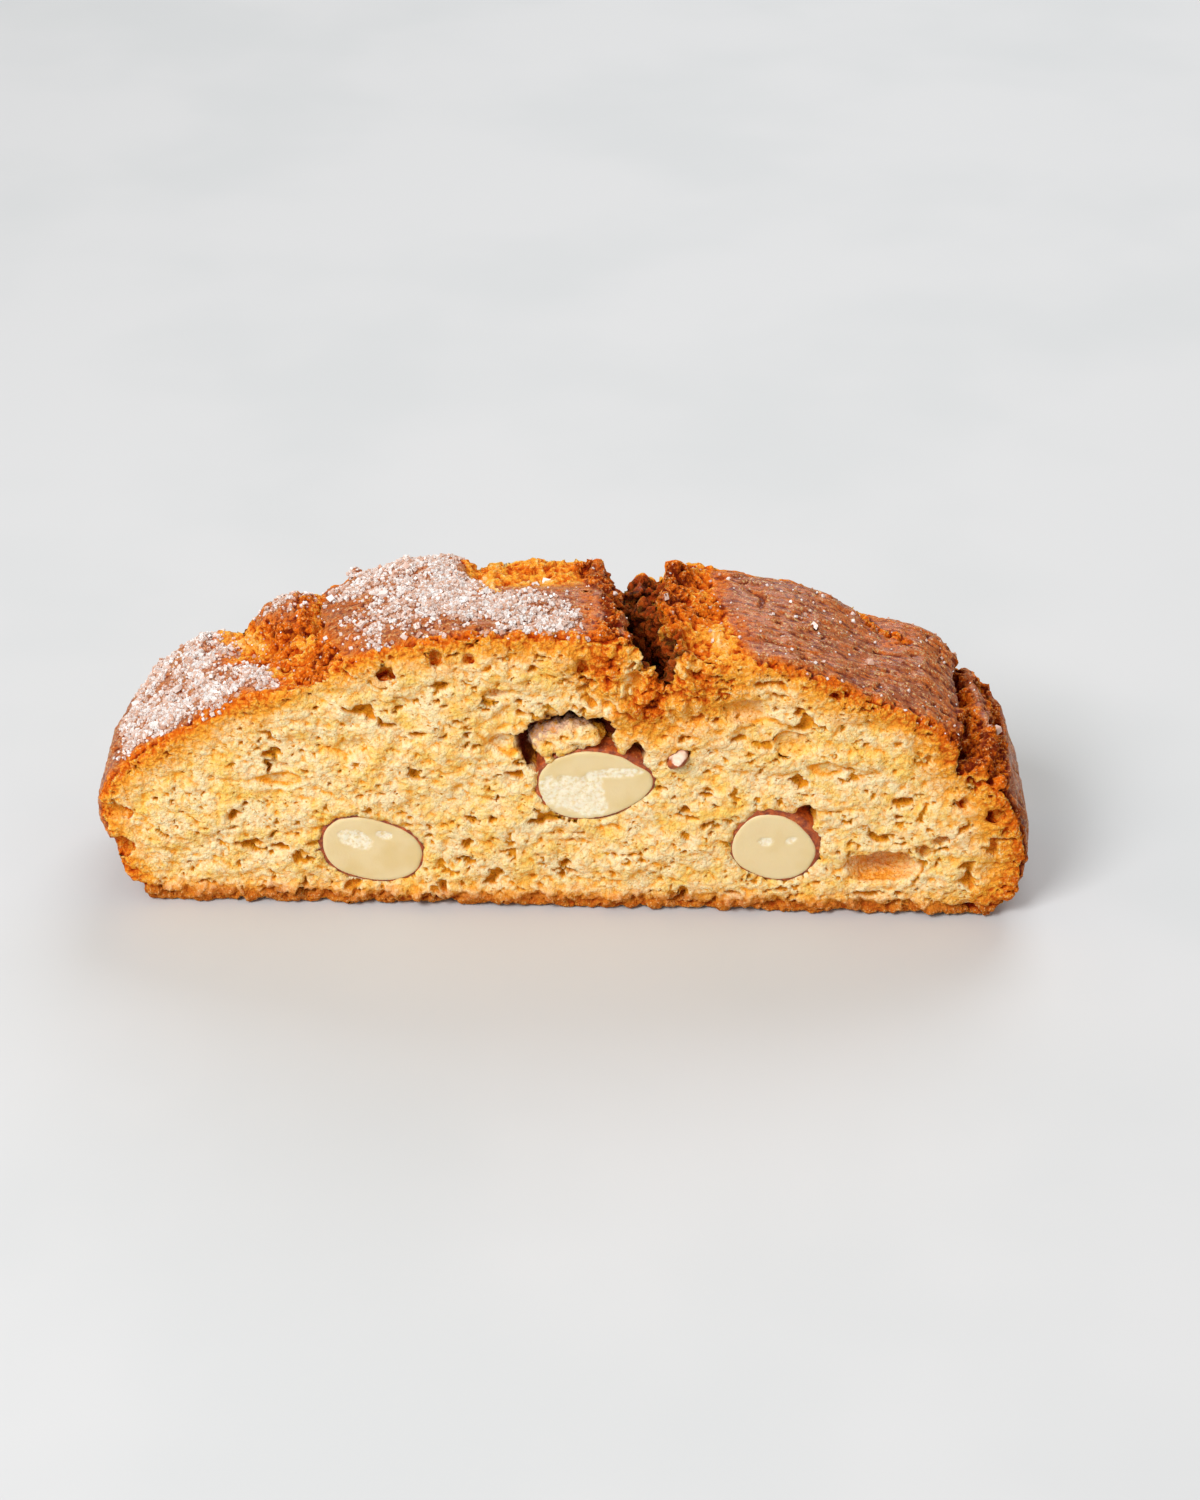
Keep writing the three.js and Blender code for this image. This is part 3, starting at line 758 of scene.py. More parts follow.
def torn_share(run: np.ndarray, y: np.ndarray, beyond: float = 0.0) -> np.ndarray:
    """How much the crust has torn.

    Args:
        run: how far along the outline each place lies.
        y: how far back.
        beyond: how many millimetres past the torn paths' edges still count.

    Returns:
        A share from 0 to 1 for each place.
    """
    share = np.zeros(len(run))
    for path in TORN_PATHS:
        for (r0, y0, w0), (r1, y1, w1) in zip(path, path[1:]):
            dr, dy = r1 - r0, y1 - y0
            t = np.clip(((run - r0) * dr + (y - y0) * dy) / (dr * dr + dy * dy), 0, 1)
            distance = np.hypot(run - r0 - t * dr, y - y0 - t * dy)
            width = w0 + (w1 - w0) * t + beyond
            share = np.maximum(share, ease(1.15, 0.85, distance / width))
    return np.maximum(share, ease(1.15, 0.85, SUNK.reach(run, y)))


def edge_distance(outline: Sequence[tuple[float, float]], run: np.ndarray, y: np.ndarray) -> np.ndarray:
    """Distance to a sugared part's edge.

    Args:
        outline: the part's corners, as (run, y).
        run: how far along the section's outline each place lies.
        y: how far back.

    Returns:
        The distance for each place, negative inside the part.
    """
    distance = np.full(len(run), np.inf)
    inside = np.zeros(len(run), bool)
    for (r0, y0), (r1, y1) in zip(outline, (*outline[1:], outline[0])):
        dr, dy = r1 - r0, y1 - y0
        t = np.clip(((run - r0) * dr + (y - y0) * dy) / (dr * dr + dy * dy), 0, 1)
        distance = np.minimum(distance, np.hypot(run - r0 - t * dr, y - y0 - t * dy))
        crosses = (y0 > y) != (y1 > y)
        inside ^= crosses & (run < r0 + (y - y0) * dr / (dy or 1e-9))
    return np.where(inside, -distance, distance)


def sugar_share(run: np.ndarray, y: np.ndarray) -> np.ndarray:
    """How thickly the crust is sugared.

    Args:
        run: how far along the outline each place lies.
        y: how far back.

    Returns:
        A share from 0 to 1 for each place.
    """
    nearest = np.min([edge_distance(outline, run, y) for outline in SUGARED], axis=0)
    flat = np.stack([run, y, 0 * run], 1)
    share = ease(1.2, -1.6, nearest + 1.6 * waves(flat, 4, 21) + 0.8 * waves(flat, 1.6, 23))
    loose = 0.5 * waves(flat, 1.8, 25)
    rubbed = ease(1.3, 0.6, RUBBED.reach(run, y) + loose)
    rubbed = np.maximum(rubbed, ease(-21.5, -23.5, run + loose) * ease(4.5, 2.5, y + loose) * (run > -31))
    return share * (1 - 0.85 * rubbed)


# ---------------------------------------------------------------- meshes


def positions(mesh: bpy.types.Mesh) -> np.ndarray:
    """A mesh's points.

    Args:
        mesh: the mesh.

    Returns:
        Their places in millimetres, one in each row.
    """
    flat = np.empty(len(mesh.vertices) * 3)
    mesh.vertices.foreach_get("co", flat)
    return flat.reshape(-1, 3) / MM


def move(mesh: bpy.types.Mesh, p: np.ndarray) -> None:
    """Sets a mesh's points from places in millimetres."""
    mesh.vertices.foreach_set("co", (p * MM).ravel())
    mesh.update()


def normals(mesh: bpy.types.Mesh) -> np.ndarray:
    """A mesh's smooth normals.

    Args:
        mesh: the mesh.

    Returns:
        One for each point, one in each row.
    """
    flat = np.empty(len(mesh.vertices) * 3)
    mesh.vertex_normals.foreach_get("vector", flat)
    return flat.reshape(-1, 3)


def record(mesh: bpy.types.Mesh, name: str, values: np.ndarray) -> None:
    """Stores a number for each of a mesh's points."""
    layer = mesh.attributes.new(name, "FLOAT", "POINT")
    layer.data.foreach_set("value", np.clip(values, 0, 1).astype(np.float32))


def keep_vector(mesh: bpy.types.Mesh, name: str, values: np.ndarray) -> None:
    """Stores a vector for each of a mesh's points, as three numbers that survive a cut.

    Args:
        mesh: the mesh.
        name: what the numbers' names start with.
        values: one vector in each row.
    """
    for axis, column in zip("xyz", values.T):
        layer = mesh.attributes.new(f"{name}_{axis}", "FLOAT", "POINT")
        layer.data.foreach_set("value", column.astype(np.float32))


def take_vector(mesh: bpy.types.Mesh, name: str) -> np.ndarray:
    """Takes a stored vector off a mesh.

    Args:
        mesh: the mesh.
        name: what the stored numbers' names start with.

    Returns:
        One vector in each row.
    """
    values = np.empty((3, len(mesh.vertices)), np.float32)
    for axis, column in zip("xyz", values):
        mesh.attributes[f"{name}_{axis}"].data.foreach_get("value", column)
        mesh.attributes.remove(mesh.attributes[f"{name}_{axis}"])
    return values.T


def neighbours_mean(mesh: bpy.types.Mesh, values: np.ndarray, rounds: int, amount: float = 0.5) -> np.ndarray:
    """Evens values out over a mesh's edges.

    Args:
        mesh: the mesh.
        values: one row for each point.
        rounds: how many times.
        amount: how far each goes towards its neighbours' mean in a round.

    Returns:
        The evened values.
    """
    flat = np.empty(len(mesh.edges) * 2, np.int32)
    mesh.edges.foreach_get("vertices", flat)
    a, b = flat.reshape(-1, 2).T
    count = np.bincount(a, minlength=len(values)) + np.bincount(b, minlength=len(values))
    values = values.copy()
    for _ in range(rounds):
        total = np.stack(
            [
                np.bincount(a, column[b], len(values)) + np.bincount(b, column[a], len(values))
                for column in values.T
            ],
            1,
        )
        values += amount * (total / np.maximum(count, 1)[:, None] - values)
    return values


def applied(obj: bpy.types.Object) -> bpy.types.Mesh:
    """Makes an object's modifiers permanent.

    Args:
        obj: the object, whose modifiers are removed.

    Returns:
        Its new mesh.
    """
    depsgraph = bpy.context.evaluated_depsgraph_get()
    mesh = bpy.data.meshes.new_from_object(obj.evaluated_get(depsgraph), depsgraph=depsgraph)
    obj.modifiers.clear()
    obj.data = mesh
    return mesh


def new_object(name: str, mesh: bpy.types.Mesh) -> bpy.types.Object:
    """Puts a mesh in the scene.

    Args:
        name: the object's name.
        mesh: its mesh.

    Returns:
        The object, at the origin.
    """
    obj = bpy.data.objects.new(name, mesh)
    bpy.context.scene.collection.objects.link(obj)
    return obj


def mesh_of(work: bmesh.types.BMesh, name: str) -> bpy.types.Mesh:
    """Turns a bmesh into a mesh and frees it.

    Args:
        work: the bmesh.
        name: the mesh's name.

    Returns:
        The mesh.
    """
    mesh = bpy.data.meshes.new(name)
    work.to_mesh(mesh)
    work.free()
    return mesh


def merged_copy(node: str, name: str) -> bpy.types.Object:
    """Copies a solid and joins its loose triangles.

    Args:
        node: the solid's node.
        name: the copy's name.

    Returns:
        The copy.
    """
    work = bmesh.new()
    work.from_mesh(frame["nodes"][node].data)
    bmesh.ops.remove_doubles(work, verts=work.verts, dist=1e-7)
    return new_object(name, mesh_of(work, name))


def evened(obj: bpy.types.Object, size: float) -> bpy.types.Mesh:
    """Remakes an object's whole surface in small even faces.

    Args:
        obj: the object.
        size: the faces' width in millimetres.

    Returns:
        Its new mesh.
    """
    remesh = obj.modifiers.new("even_faces", "REMESH")
    remesh.mode = "VOXEL"
    remesh.voxel_size = size * MM
    return applied(obj)


def surface_of(node: str) -> BVHTree:
    """Makes a solid's surface ready to be searched.

    Args:
        node: the solid's node.

    Returns:
        The search tree, in metres.
    """
    solid = frame["nodes"][node].data
    places = [v.co.copy() for v in solid.vertices]
    return BVHTree.FromPolygons(places, [tuple(f.vertices) for f in solid.polygons])


def present(obj: bpy.types.Object, material: bpy.types.Material, slot: str, *nodes: str) -> bpy.types.Object:
    """Finishes a piece.

    Args:
        obj: the piece.
        material: its finish.
        slot: not used.
        nodes: the nodes that it stands for.

    Returns:
        The same piece.
    """
    obj.data.materials.clear()
    obj.data.materials.append(material)
    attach(obj, BODY)
    if nodes:
        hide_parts(*nodes)
    return obj


# ---------------------------------------------------------------- the dough


@dataclass
class Dough:
    """The baked slice: crumb on its cut faces, crust over the top and a browned underside."""

    section: Section
    skin_size: float = 0.24  # width of the fine skin's faces
    quick_size: float = 0.3
    triangles: int = 192_000  # most of each half
    cap_depth: float = 1.5  # how deep the middle plane's cap lies under the surface
    cling: float = 0.17  # gap between the crumb and an almond
    hidden_x: float = 36.0  # the almonds hide the dough this far from the middle,
    hidden_y: float = 8.5  # this far from the middle plane
    hidden_z: tuple[float, float] = (1.0, 21.8)  # and between these heights
    shown_share: float = 0.3  # how readily what shows is thinned, 1 for what is hidden

    def build(self) -> tuple[list[bpy.types.Object], bpy.types.Mesh]:
        """Grows the dough's fine surface from its solid.

        Returns:
            The dough's front and back halves, and its whole surface.
        """
        obj = merged_copy("dough", "biscotto_dough")
        mesh = evened(obj, self.skin_size)
        p = self.softened(mesh)
        p = self.hugged(self.pushed(p))
        move(mesh, p)
        facing = normals(mesh)
        run, inset, out = self.section.locate(p)
        measures = self.measure(p, facing, run, inset, out)
        height = self.relief(p, run, measures)
        rough = p + facing * height[:, None]
        rough[:, 2] = np.maximum(rough[:, 2], 0.0)
        # painted shade: how far the crumb lies in behind the cut face, which the finish darkens
        beneath = ease(10.1, 7.6, np.abs(p[:, 1])) * ease(0.8, 1.8, inset) * ease(0.6, 1.6, p[:, 2])
        whole_crumb = (1 - measures["roof"]) * (1 - measures["tear"]) * (1 - measures["print"])
        measures["hollow"] = beneath * whole_crumb
        self.store(mesh, measures, height)
        move(mesh, rough)
        whole = mesh.copy()
        final = normals(mesh)
        # painted shade: how far each point turns away from the key light, which the crumb's finish darkens
        # and warms
        lit = 0.7 * final[:, 2] + 0.54 * np.abs(final[:, 1]) - 0.45 * final[:, 0]
        record(mesh, "painted_key_shade", ease(0.5, -0.15, lit))
        keep_vector(mesh, "facing", final)
        keep_vector(mesh, "lift", rough - p)
        move(mesh, p)
        material = DoughFinish().material()
        halves = [self.half(mesh, side) for side in Side]
        bpy.data.objects.remove(obj)
        return [present(half, material, "dough", "dough") for half in halves], whole

    def half(self, whole: bpy.types.Mesh, side: Side) -> bpy.types.Object:
        """One half of the dough, closed at the middle plane, where it meets the other.

        Args:
            whole: the whole surface before it is roughened, with each point's lift and facing.
            side: which half.

        Returns:
            The object.
        """
        work = bmesh.new()
        work.from_mesh(whole)
        bmesh.ops.triangulate(work, faces=work.faces)
        everything = [*work.verts, *work.edges, *work.faces]
        away = Vector((0, -side.value, 0))
        name = side.name.lower()
        bmesh.ops.bisect_plane(work, geom=everything, plane_no=away, clear_outer=True)
        rim = [e for e in work.edges if e.is_boundary]
        made = bmesh.ops.triangle_fill(work, edges=rim, use_beauty=False, normal=away)
        cap = [f for f in made["geom"] if isinstance(f, bmesh.types.BMFace)]
        bmesh.ops.reverse_faces(work, faces=[f for f in cap if f.normal.dot(away) < 0])
        depth = self.cap_depth * MM
        strip = bmesh.ops.inset_region(work, faces=cap, use_boundary=True, thickness=depth)["faces"]
        inner = {v for f in cap for v in f.verts}
        work.verts.index_update()
        seam = sorted({v.index for f in strip for v in f.verts if v not in inner})
        mesh = mesh_of(work, f"dough_{name}")
        move(mesh, positions(mesh) + take_vector(mesh, "lift"))
        obj = new_object(f"biscotto_dough_{name}", mesh)
        self.thin(obj, seam)
        obj.data.shade_smooth()
        obj.data.normals_split_custom_set_from_vertices(take_vector(obj.data, "facing").tolist())
        return obj

    def softened(self, mesh: bpy.types.Mesh) -> np.ndarray:
        """Evens the solid's facets out, less so on the cut faces and in the split.

        Args:
            mesh: the fine skin.

        Returns:
            Its points' new places.
        """
        p = positions(mesh)
        light = neighbours_mean(mesh, p, 4)
        soft = neighbours_mean(mesh, light, 11)
        crisp = np.maximum(ease(8.6, 9.6, np.abs(p[:, 1])), self.split_share(p))
        return soft + (light - soft) * crisp[:, None]

    def pushed(self, p: np.ndarray) -> np.ndarray:
        """Moves the crumb above the middle almond forward, fills a pocket, raises a ridge behind the split.

        Args:
            p: places in millimetres.

        Returns:
            The new places.
        """
        x, y, z = p.T
        crumb = ease(1.0, 0.35, CLINGING.reach(x, z)) * ease(-10.2, -9.6, y) * ease(-4, -7, y)
        above = ease(1.0, 0.3, GAP_ROOF.reach(x, z)) * ease(-5, -8, y) * (0.75 + 0.6 * waves(p, 2.4, 96))
        p = p + crumb[:, None] * np.array([0, -0.8, 0.5]) + above[:, None] * np.array([0, 0, -1.1])
        low = ease(1.35, 0.8, LOW_POCKET.reach(x, z)) * ease(-3, -5, y)
        low *= 1 - 0.9 * ease(1.2, 0.5, ((x + 6.7 + 0.5 * z - 8.8) / 2.9) ** 2 + ((z - 17.8) / 0.7) ** 2)
        p[:, 1] -= 0.85 * low * np.maximum(p[:, 1] + 10.4, 0)
        left, right = (np.interp(y, SPLIT_Y, side) for side in (SPLIT_LEFT, SPLIT_RIGHT))
        ridge = 34.6 + 0.8 * waves(p, 2.4, 88) - 0.35 * np.maximum(right - 2 - x, 0)
        between = ease(left + 1.5, left + 4, x) * ease(right + 2, right, x)
        bridge = ease(5.6, 8.0, y) * between * ease(27, 29, z)
        lowered = np.where(p[:, 2] > ridge, ease(right - 1, right - 3, x), 1.0)
        p[:, 2] += bridge * (ridge - p[:, 2]) * lowered * 0.85
        return p

    def printed(self, p: np.ndarray) -> np.ndarray:
        """How much each place is in the smooth print that an almond has left low on the right."""
        x, y, z = p.T
        return ease(1.15, 0.85, PRINT.reach(x, z)) * ease(-10.4, -9.9, y) * ease(-4, -6, y)

    def hugged(self, p: np.ndarray) -> np.ndarray:
        """Draws the crumb up to the almonds that it baked around.

        Args:
            p: places in millimetres.

        Returns:
            The new places.
        """
        p = p.copy()
        for name in ("left", "middle", "right"):
            tree = surface_of(f"almond_{name}")
            low, high = (np.array(corner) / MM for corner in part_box(f"almond_{name}"))
            near = np.nonzero(((p > low - 1.2) & (p < high + 1.2)).all(1) & (np.abs(p[:, 1]) < 10.4))[0]
            for n in near:
                foot, _, _, distance = tree.find_nearest(Vector(p[n]) * MM, 1.0 * MM)
                if foot is None or distance < self.cling * MM:
                    continue
                gap = distance / MM
                pull = (gap - self.cling) * float(ease(0.95, 0.5, np.array(gap)))
                away = (p[n] - np.array(foot) / MM) / gap
                p[n] -= away * pull * np.array([1, 0, 1])
        return p

    def measure(
        self, p: np.ndarray, facing: np.ndarray, run: np.ndarray, inset: np.ndarray, out: np.ndarray
    ) -> dict[str, np.ndarray]:
        """What the dough is like at each point.

        Args:
            p: places in millimetres.
            facing: smooth normals.
            run: how far along the outline each place lies, not a number on the base.
            inset: how far in from the outline.
            out: the outline's outward direction there.

        Returns:
            Shares from 0 to 1, by name.
        """
        x, y, z = p.T
        base = np.isnan(run)
        run = np.where(base, OFF_OUTLINE, run)
        outward = facing[:, 0] * out[:, 0] + facing[:, 2] * out[:, 1]
        inside = np.abs(y) < 10.1
        roof = ease(0.1, 0.45, outward) * ease(6.5, 4.5, inset) * ~base * inside * ease(1.5, 4, z)
        skin = ease(2.4, 1.4, inset) * roof
        blotch = waves(p, 3.5, 5) * 0.6 + waves(p, 1.3, 6) * 0.5
        edge = ease(8.6, 9.6, np.abs(y) + 0.8 * blotch + 0.5 * waves(p, 0.6, 8))
        tear = torn_share(run + 0.7 * blotch, y + 0.7 * blotch)
        torn_near = torn_share(run + 0.7 * blotch, y + 0.7 * blotch, 2.6)
        glaze = skin * (1 - np.maximum(tear, edge)) * (1 - 0.5 * torn_near * ease(-0.4, 0.3, blotch))
        split = self.split_share(p)
        aside = np.abs(run - 50.4 + 0.09 * y) / (1.1 + 0.5 * blotch)
        groove = roof * ease(1.1, 0.5, aside) * ease(11.5, 9, np.abs(y))
        lump = ease(0.15, 0.45, waves(p, 2.0, 67)) * (x < np.interp(y, SPLIT_Y, SPLIT_FLOOR) + 2) * (z > 28)
        satin = 0.8 * split * ease(0.55, 0.8, facing[:, 2]) * lump * ease(8.5, 7, np.abs(y))
        m = {
            "glaze": np.maximum(glaze, satin),
            "tear": np.maximum(tear * roof, split),
            "roof": roof,
            "base": ease(2.9, 1.2, z + 0.8 * blotch) * (0.65 + 0.35 * ease(9, 10, np.abs(y))),
            "dust": sugar_share(run, y) * skin * ease(9.6, 7.8, np.abs(y) + 0.8 * blotch),
            "pit": 0.9 * (split * self.pit_share(p) * ease(10.0, 9.4, np.abs(y))),
            "almond_stain_and_shade": self.stain_and_shade_share(p),
            "print": self.printed(p),
            "void": self.in_void(p),
            "pocket": self.pocketed(p),
            "dusting": self.dusted(p, facing),
            "split": split,
            "groove": groove,
        }
        m["bake"] = self.browned(p, run, inset, blotch, m)
        return m

    def browned(
        self, p: np.ndarray, run: np.ndarray, inset: np.ndarray, blotch: np.ndarray, m: dict[str, np.ndarray]
    ) -> np.ndarray:
        """How far the heat has browned each place.

        Args:
            p: places in millimetres.
            run: how far along the outline each lies, OFF_OUTLINE on the base.
            inset: how far in from the outline.
            blotch: noise that makes the browning uneven.
            m: the dough's other measures.

        Returns:
            0 where the dough is pale, 1 and over where it is dark.
        """
        x, y, z = p.T
        base, roof, split = run == OFF_OUTLINE, m["roof"], m["split"]
        reach = 2.4 + 0.7 * blotch + 1.5 * ease(44, 52, run) * ~base
        bake = 0.8 * np.exp(-((np.maximum(inset, 0) / reach) ** 1.15)) * np.where(base, 0.6, 1.0)
        golden = 0.24 * ease(1, 5, y) * ease(4, 1, run) + 0.2 * ease(7, 5, np.abs(run - 17))
        bake = np.maximum(bake, roof * (0.62 + 0.16 * blotch + 0.36 * ease(44, 49.5, run) - golden))
        bake = np.maximum(bake, (0.66 + 0.3 * ease(31, 27, z) + 0.15 * blotch) * split * (np.abs(y) < 10))
        bake = np.maximum(bake, self.orange_patch(x, z) * ease(-6, -9, y))
        lip = np.abs(x - np.interp(y, SPLIT_Y, SPLIT_LEFT) + 0.4) + 0.8 * blotch
        by_lip = ease(2.2, 0.4, lip) * ease(29, 31.5, z) * ease(10.4, 9.2, np.abs(y))
        bake += 0.45 * m["groove"] + 0.5 * by_lip
        bake = bake + m["print"] * (0.05 + 0.2 * ease(6.6, 4.6, z) + 0.05 * blotch - bake)
        return bake + 0.3 * m["tear"] * (waves(p, 2.6, 9) + 0.5 * waves(p, 0.9, 10))

    def split_share(self, p: np.ndarray) -> np.ndarray:
        """How much of each place's surroundings is the split at the crest.

        Args:
            p: places in millimetres.

        Returns:
            A share from 0 to 1 for each place.
        """
        x, y, z = p.T
        low = np.interp(y, SPLIT_Y, SPLIT_LEFT)
        high = np.interp(y, SPLIT_Y, SPLIT_RIGHT)
        away = np.maximum(low - x, x - high)
        return ease(0.9, -0.3, away + 0.5 * waves(p, 1.3, 97)) * ease(25.5, 28, z)

    def pit_share(self, p: np.ndarray) -> np.ndarray:
        """How much each place is down in the split, where no light gets.

        Args:
            p: places in millimetres.

        Returns:
            A share from 0 to 1 for each place.
        """
        x, y, z = p.T
        low = np.interp(y, SPLIT_Y, SPLIT_LEFT)
        wall = np.interp(y, SPLIT_Y, SPLIT_RIGHT) + 0.7
        away = np.maximum(low - 0.6 - x, x - wall)
        lumpy = 1.6 * waves(p, 1.7, 98) + 0.9 * waves(p, 0.8, 99)
        return ease(0.5, -0.7, away + 0.6 * lumpy) * ease(36.6, 34.0, z + lumpy)

    def stain_and_shade_share(self, p: np.ndarray) -> np.ndarray:
        """How much of the crumb bears the stain of an almond's skin that has come away from it, together with
        painted shade in and round the gap above the middle almond.

        Args:
            p: places in millimetres.

        Returns:
            A share from 0 to 1 for each place.
        """
        x, y, z = p.T
        share = np.zeros(len(p))
        for oval in STAIN_AND_SHADE:
            share = np.maximum(share, ease(1.15, 0.75, oval.reach(x, z) + 0.15 * waves(p, 1.2, 81)))
        share *= ease(0.8, 1.1, CLINGING_UNSTAINED.reach(x, z) + 0.35 * waves(p, 1.0, 83))
        return share * ease(-10.0, -9.3, y) * ease(-2, -3.5, y) * ease(-0.75, -0.35, waves(p, 1.1, 84))

    def dusted(self, p: np.ndarray, facing: np.ndarray) -> np.ndarray:
        """How much each place is dusted by the almond's skin: the top and left of the clinging crumb.

        Args:
            p: places in millimetres.
            facing: smooth normals.

        Returns:
            A share from 0 to 1 for each place.
        """
        x, y, z = p.T
        turned = 0.7 * facing[:, 2] - 0.6 * facing[:, 0] + 0.5 * waves(p, 1.0, 95) + 0.12 * (z - 24) - 0.1 * x
        near = ease(1.0, 0.6, CLINGING_DUSTED.reach(x, z)) * ease(-10.6, -10.0, y) * ease(-3, -5, y)
        return near * ease(0.1, 0.8, turned) * (z > 20.6)

    def pocketed(self, p: np.ndarray) -> np.ndarray:
        """How much each place is in a shallow gas pocket, whose wall is thin and smooth.

        Args:
            p: places in millimetres.

        Returns:
            A share from 0 to 1 for each place.
        """
        x, y, z = p.T
        share = np.zeros(len(p))
        ragged = 0.35 * waves(p, 2.6, 101) + 0.2 * waves(p, 1.1, 102)
        for pocket in POCKETS:
            share = np.maximum(share, ease(1.25, 0.5, pocket.reach(x, z) + ragged))
        return share * ease(-9.2, -9.9, y)

    def in_void(self, p: np.ndarray) -> np.ndarray:
        """How much each place is in the ragged gap above the middle almond."""
        x, y, z = p.T
        return ease(1.2, 0.8, GAP.reach(x, z)) * ease(-10.5, -9.8, y) * ease(-3, -5, y) * (z > 20.5)

    def orange_patch(self, x: np.ndarray, z: np.ndarray) -> np.ndarray:
        """How much each place, at x and z, belongs to the front face's browned stretch below the split."""
        return np.max([most * np.exp(-oval.reach(x, z)) for most, oval in BROWNED], axis=0)

    def relief(self, p: np.ndarray, run: np.ndarray, m: dict[str, np.ndarray]) -> np.ndarray:
        """How far the fine surface stands out from the softened one.

        Args:
            p: places in millimetres.
            run: how far along the outline.
            m: the dough's measures.

        Returns:
            Height in millimetres for each place.
        """
        bent = p + 0.4 * np.stack([waves(p, 1.7, s) for s in (31, 37, 41)], 1)
        bent += 0.2 * np.stack([waves(p, 0.6, s) for s in (33, 39, 43)], 1)
        tear, glaze = m["tear"], m["glaze"]
        large = clumps(bent, (3.4, 3.4, 2.2), 3) - 0.5
        middle = clumps(bent, (1.5, 1.5, 1.1), 7) - 0.5
        small = clumps(bent, 0.7, 11) - 0.5
        rough = 0.36 * large + 0.34 * middle + 0.18 * small + 0.12 * waves(p, (9, 9, 1.7), 13)
        pore = 1.1 * holes(bent, (2.8, 2.8, 1.6), 0.62, 17, 0.2)
        pore += 0.55 * holes(bent, (1.2, 1.2, 0.9), 0.64, 19, 0.25)
        pore *= ease(8.8, 9.9, np.abs(p[:, 1])) * (1 - 0.85 * m["void"])
        crag = self.torn_relief(p, bent)
        crumb = rough - pore
        height = crumb + (crag - crumb) * np.clip(tear, 0, 1)
        height += 0.5 * m["split"] * crag
        height = height + (self.crust_relief(p, bent, run) - height) * np.maximum(glaze, 0)
        height = height * (1 - 0.85 * m["print"]) * (1 - 0.6 * m["pocket"]) - 0.6 * m["pocket"]
        flaked = ease(0.0, 0.35, waves(p, 1.7, 61) + 0.5 * waves(p, 0.7, 62))
        height -= 0.6 * flaked * m["roof"] * ease(8.9, 9.9, np.abs(p[:, 1]))
        height += m["void"] * (0.9 * (clumps(bent, 1.5, 58) - 0.35) + 0.6 * (clumps(bent, 0.8, 59) - 0.5))
        height -= 1.1 * m["groove"] * (0.7 + 0.9 * waves(p, 1.6, 64))
        plate = 49.6 - 0.09 * p[:, 1] - np.nan_to_num(run, nan=OFF_OUTLINE)
        lifted = ease(6.0, 0.8, plate) * ease(-0.4, 0.4, plate) * ease(2, 8, p[:, 1])
        height += 0.9 * lifted * m["roof"] * (0.5 + waves(p, 1.9, 65) + 0.4 * waves(p, 0.8, 66))
        height += m["base"] * (0.5 * middle + 0.4 * small + 0.5 * waves(p, 1.8, 63) - 0.3 * flaked)
        room = 0.4 + 0.8 * np.abs(p[:, 0] - np.interp(p[:, 1], SPLIT_Y, SPLIT_FLOOR))
        height = np.where(m["split"] > 0.2, np.minimum(height, room), height)
        # the holes' depth, which the finish darkens as painted shade
        m["pore"] = np.clip(pore / 1.1 + 0.05 * m["pocket"], 0, 1) * (1 - np.maximum(glaze, tear))
        return height * (0.4 + 0.6 * ease(0.0, 1.2, p[:, 2]))

    def torn_relief(self, p: np.ndarray, bent: np.ndarray) -> np.ndarray:
        """How far torn dough stands out in crags.

        Args:
            p: places in millimetres.
            bent: the same places, each a little astray.

        Returns:
            Height in millimetres for each place.
        """
        crag = 0.75 * (clumps(bent, (2.6, 2.6, 2.0), 23) - 0.5) + 0.5 * (clumps(bent, 1.2, 27) - 0.5)
        crumbs = 0.4 * (clumps(bent, 0.62, 28) - 0.5) + 0.5 * waves(p, 2.2, 29)
        return crag + (crumbs - 0.6 * holes(bent, 2.0, 0.5, 57, 0.2))

    def crust_relief(self, p: np.ndarray, bent: np.ndarray, run: np.ndarray) -> np.ndarray:
        """How far the crust stands out in wrinkles, and sinks in at cracks and pinholes.

        Args:
            p: places in millimetres.
            bent: the same places, each a little astray.
            run: how far along the outline, not a number on the base.

        Returns:
            Height in millimetres for each place.
        """
        along = np.where(np.isnan(run), p[:, 0], run) + 0.5 * waves(p, 2.2, 45)
        wander = np.stack([along, p[:, 1] + 0.5 * waves(p, 2.2, 49), np.zeros(len(p))], 1)
        wrinkle = 0.17 * (1 - 2 * np.abs(waves(wander, (2.8, 0.75, 1), 53)))
        crack = ease(0.12, 0.02, np.abs(waves(wander, (9, 3.6, 1), 55)))
        wrinkle -= 0.5 * crack * ease(0, 0.3, waves(p, 5, 56))
        smooth = 0.2 * waves(p, 2.6, 43) + 0.14 * (clumps(bent, 0.9, 47) - 0.5) + wrinkle
        return smooth - 0.4 * holes(bent, (1.3, 1.3, 1.3), 0.6, 51, 0.2)

    def store(self, mesh: bpy.types.Mesh, m: dict[str, np.ndarray], height: np.ndarray) -> None:
        """Records on the mesh what the finish reads.

        Args:
            mesh: the fine skin.
            m: the dough's measures.
            height: how far each point stands out.
        """
        near = neighbours_mean(mesh, height[:, None], 5)
        wide = neighbours_mean(mesh, near, 20)
        record(mesh, "cavity", 0.5 - 1.0 * (height - wide[:, 0]) - 1.3 * (height - near[:, 0]))
        for name in ("bake", "glaze", "pit", "dust", "base", "almond_stain_and_shade", "hollow", "pore", "dusting"):
            record(mesh, name, m[name])

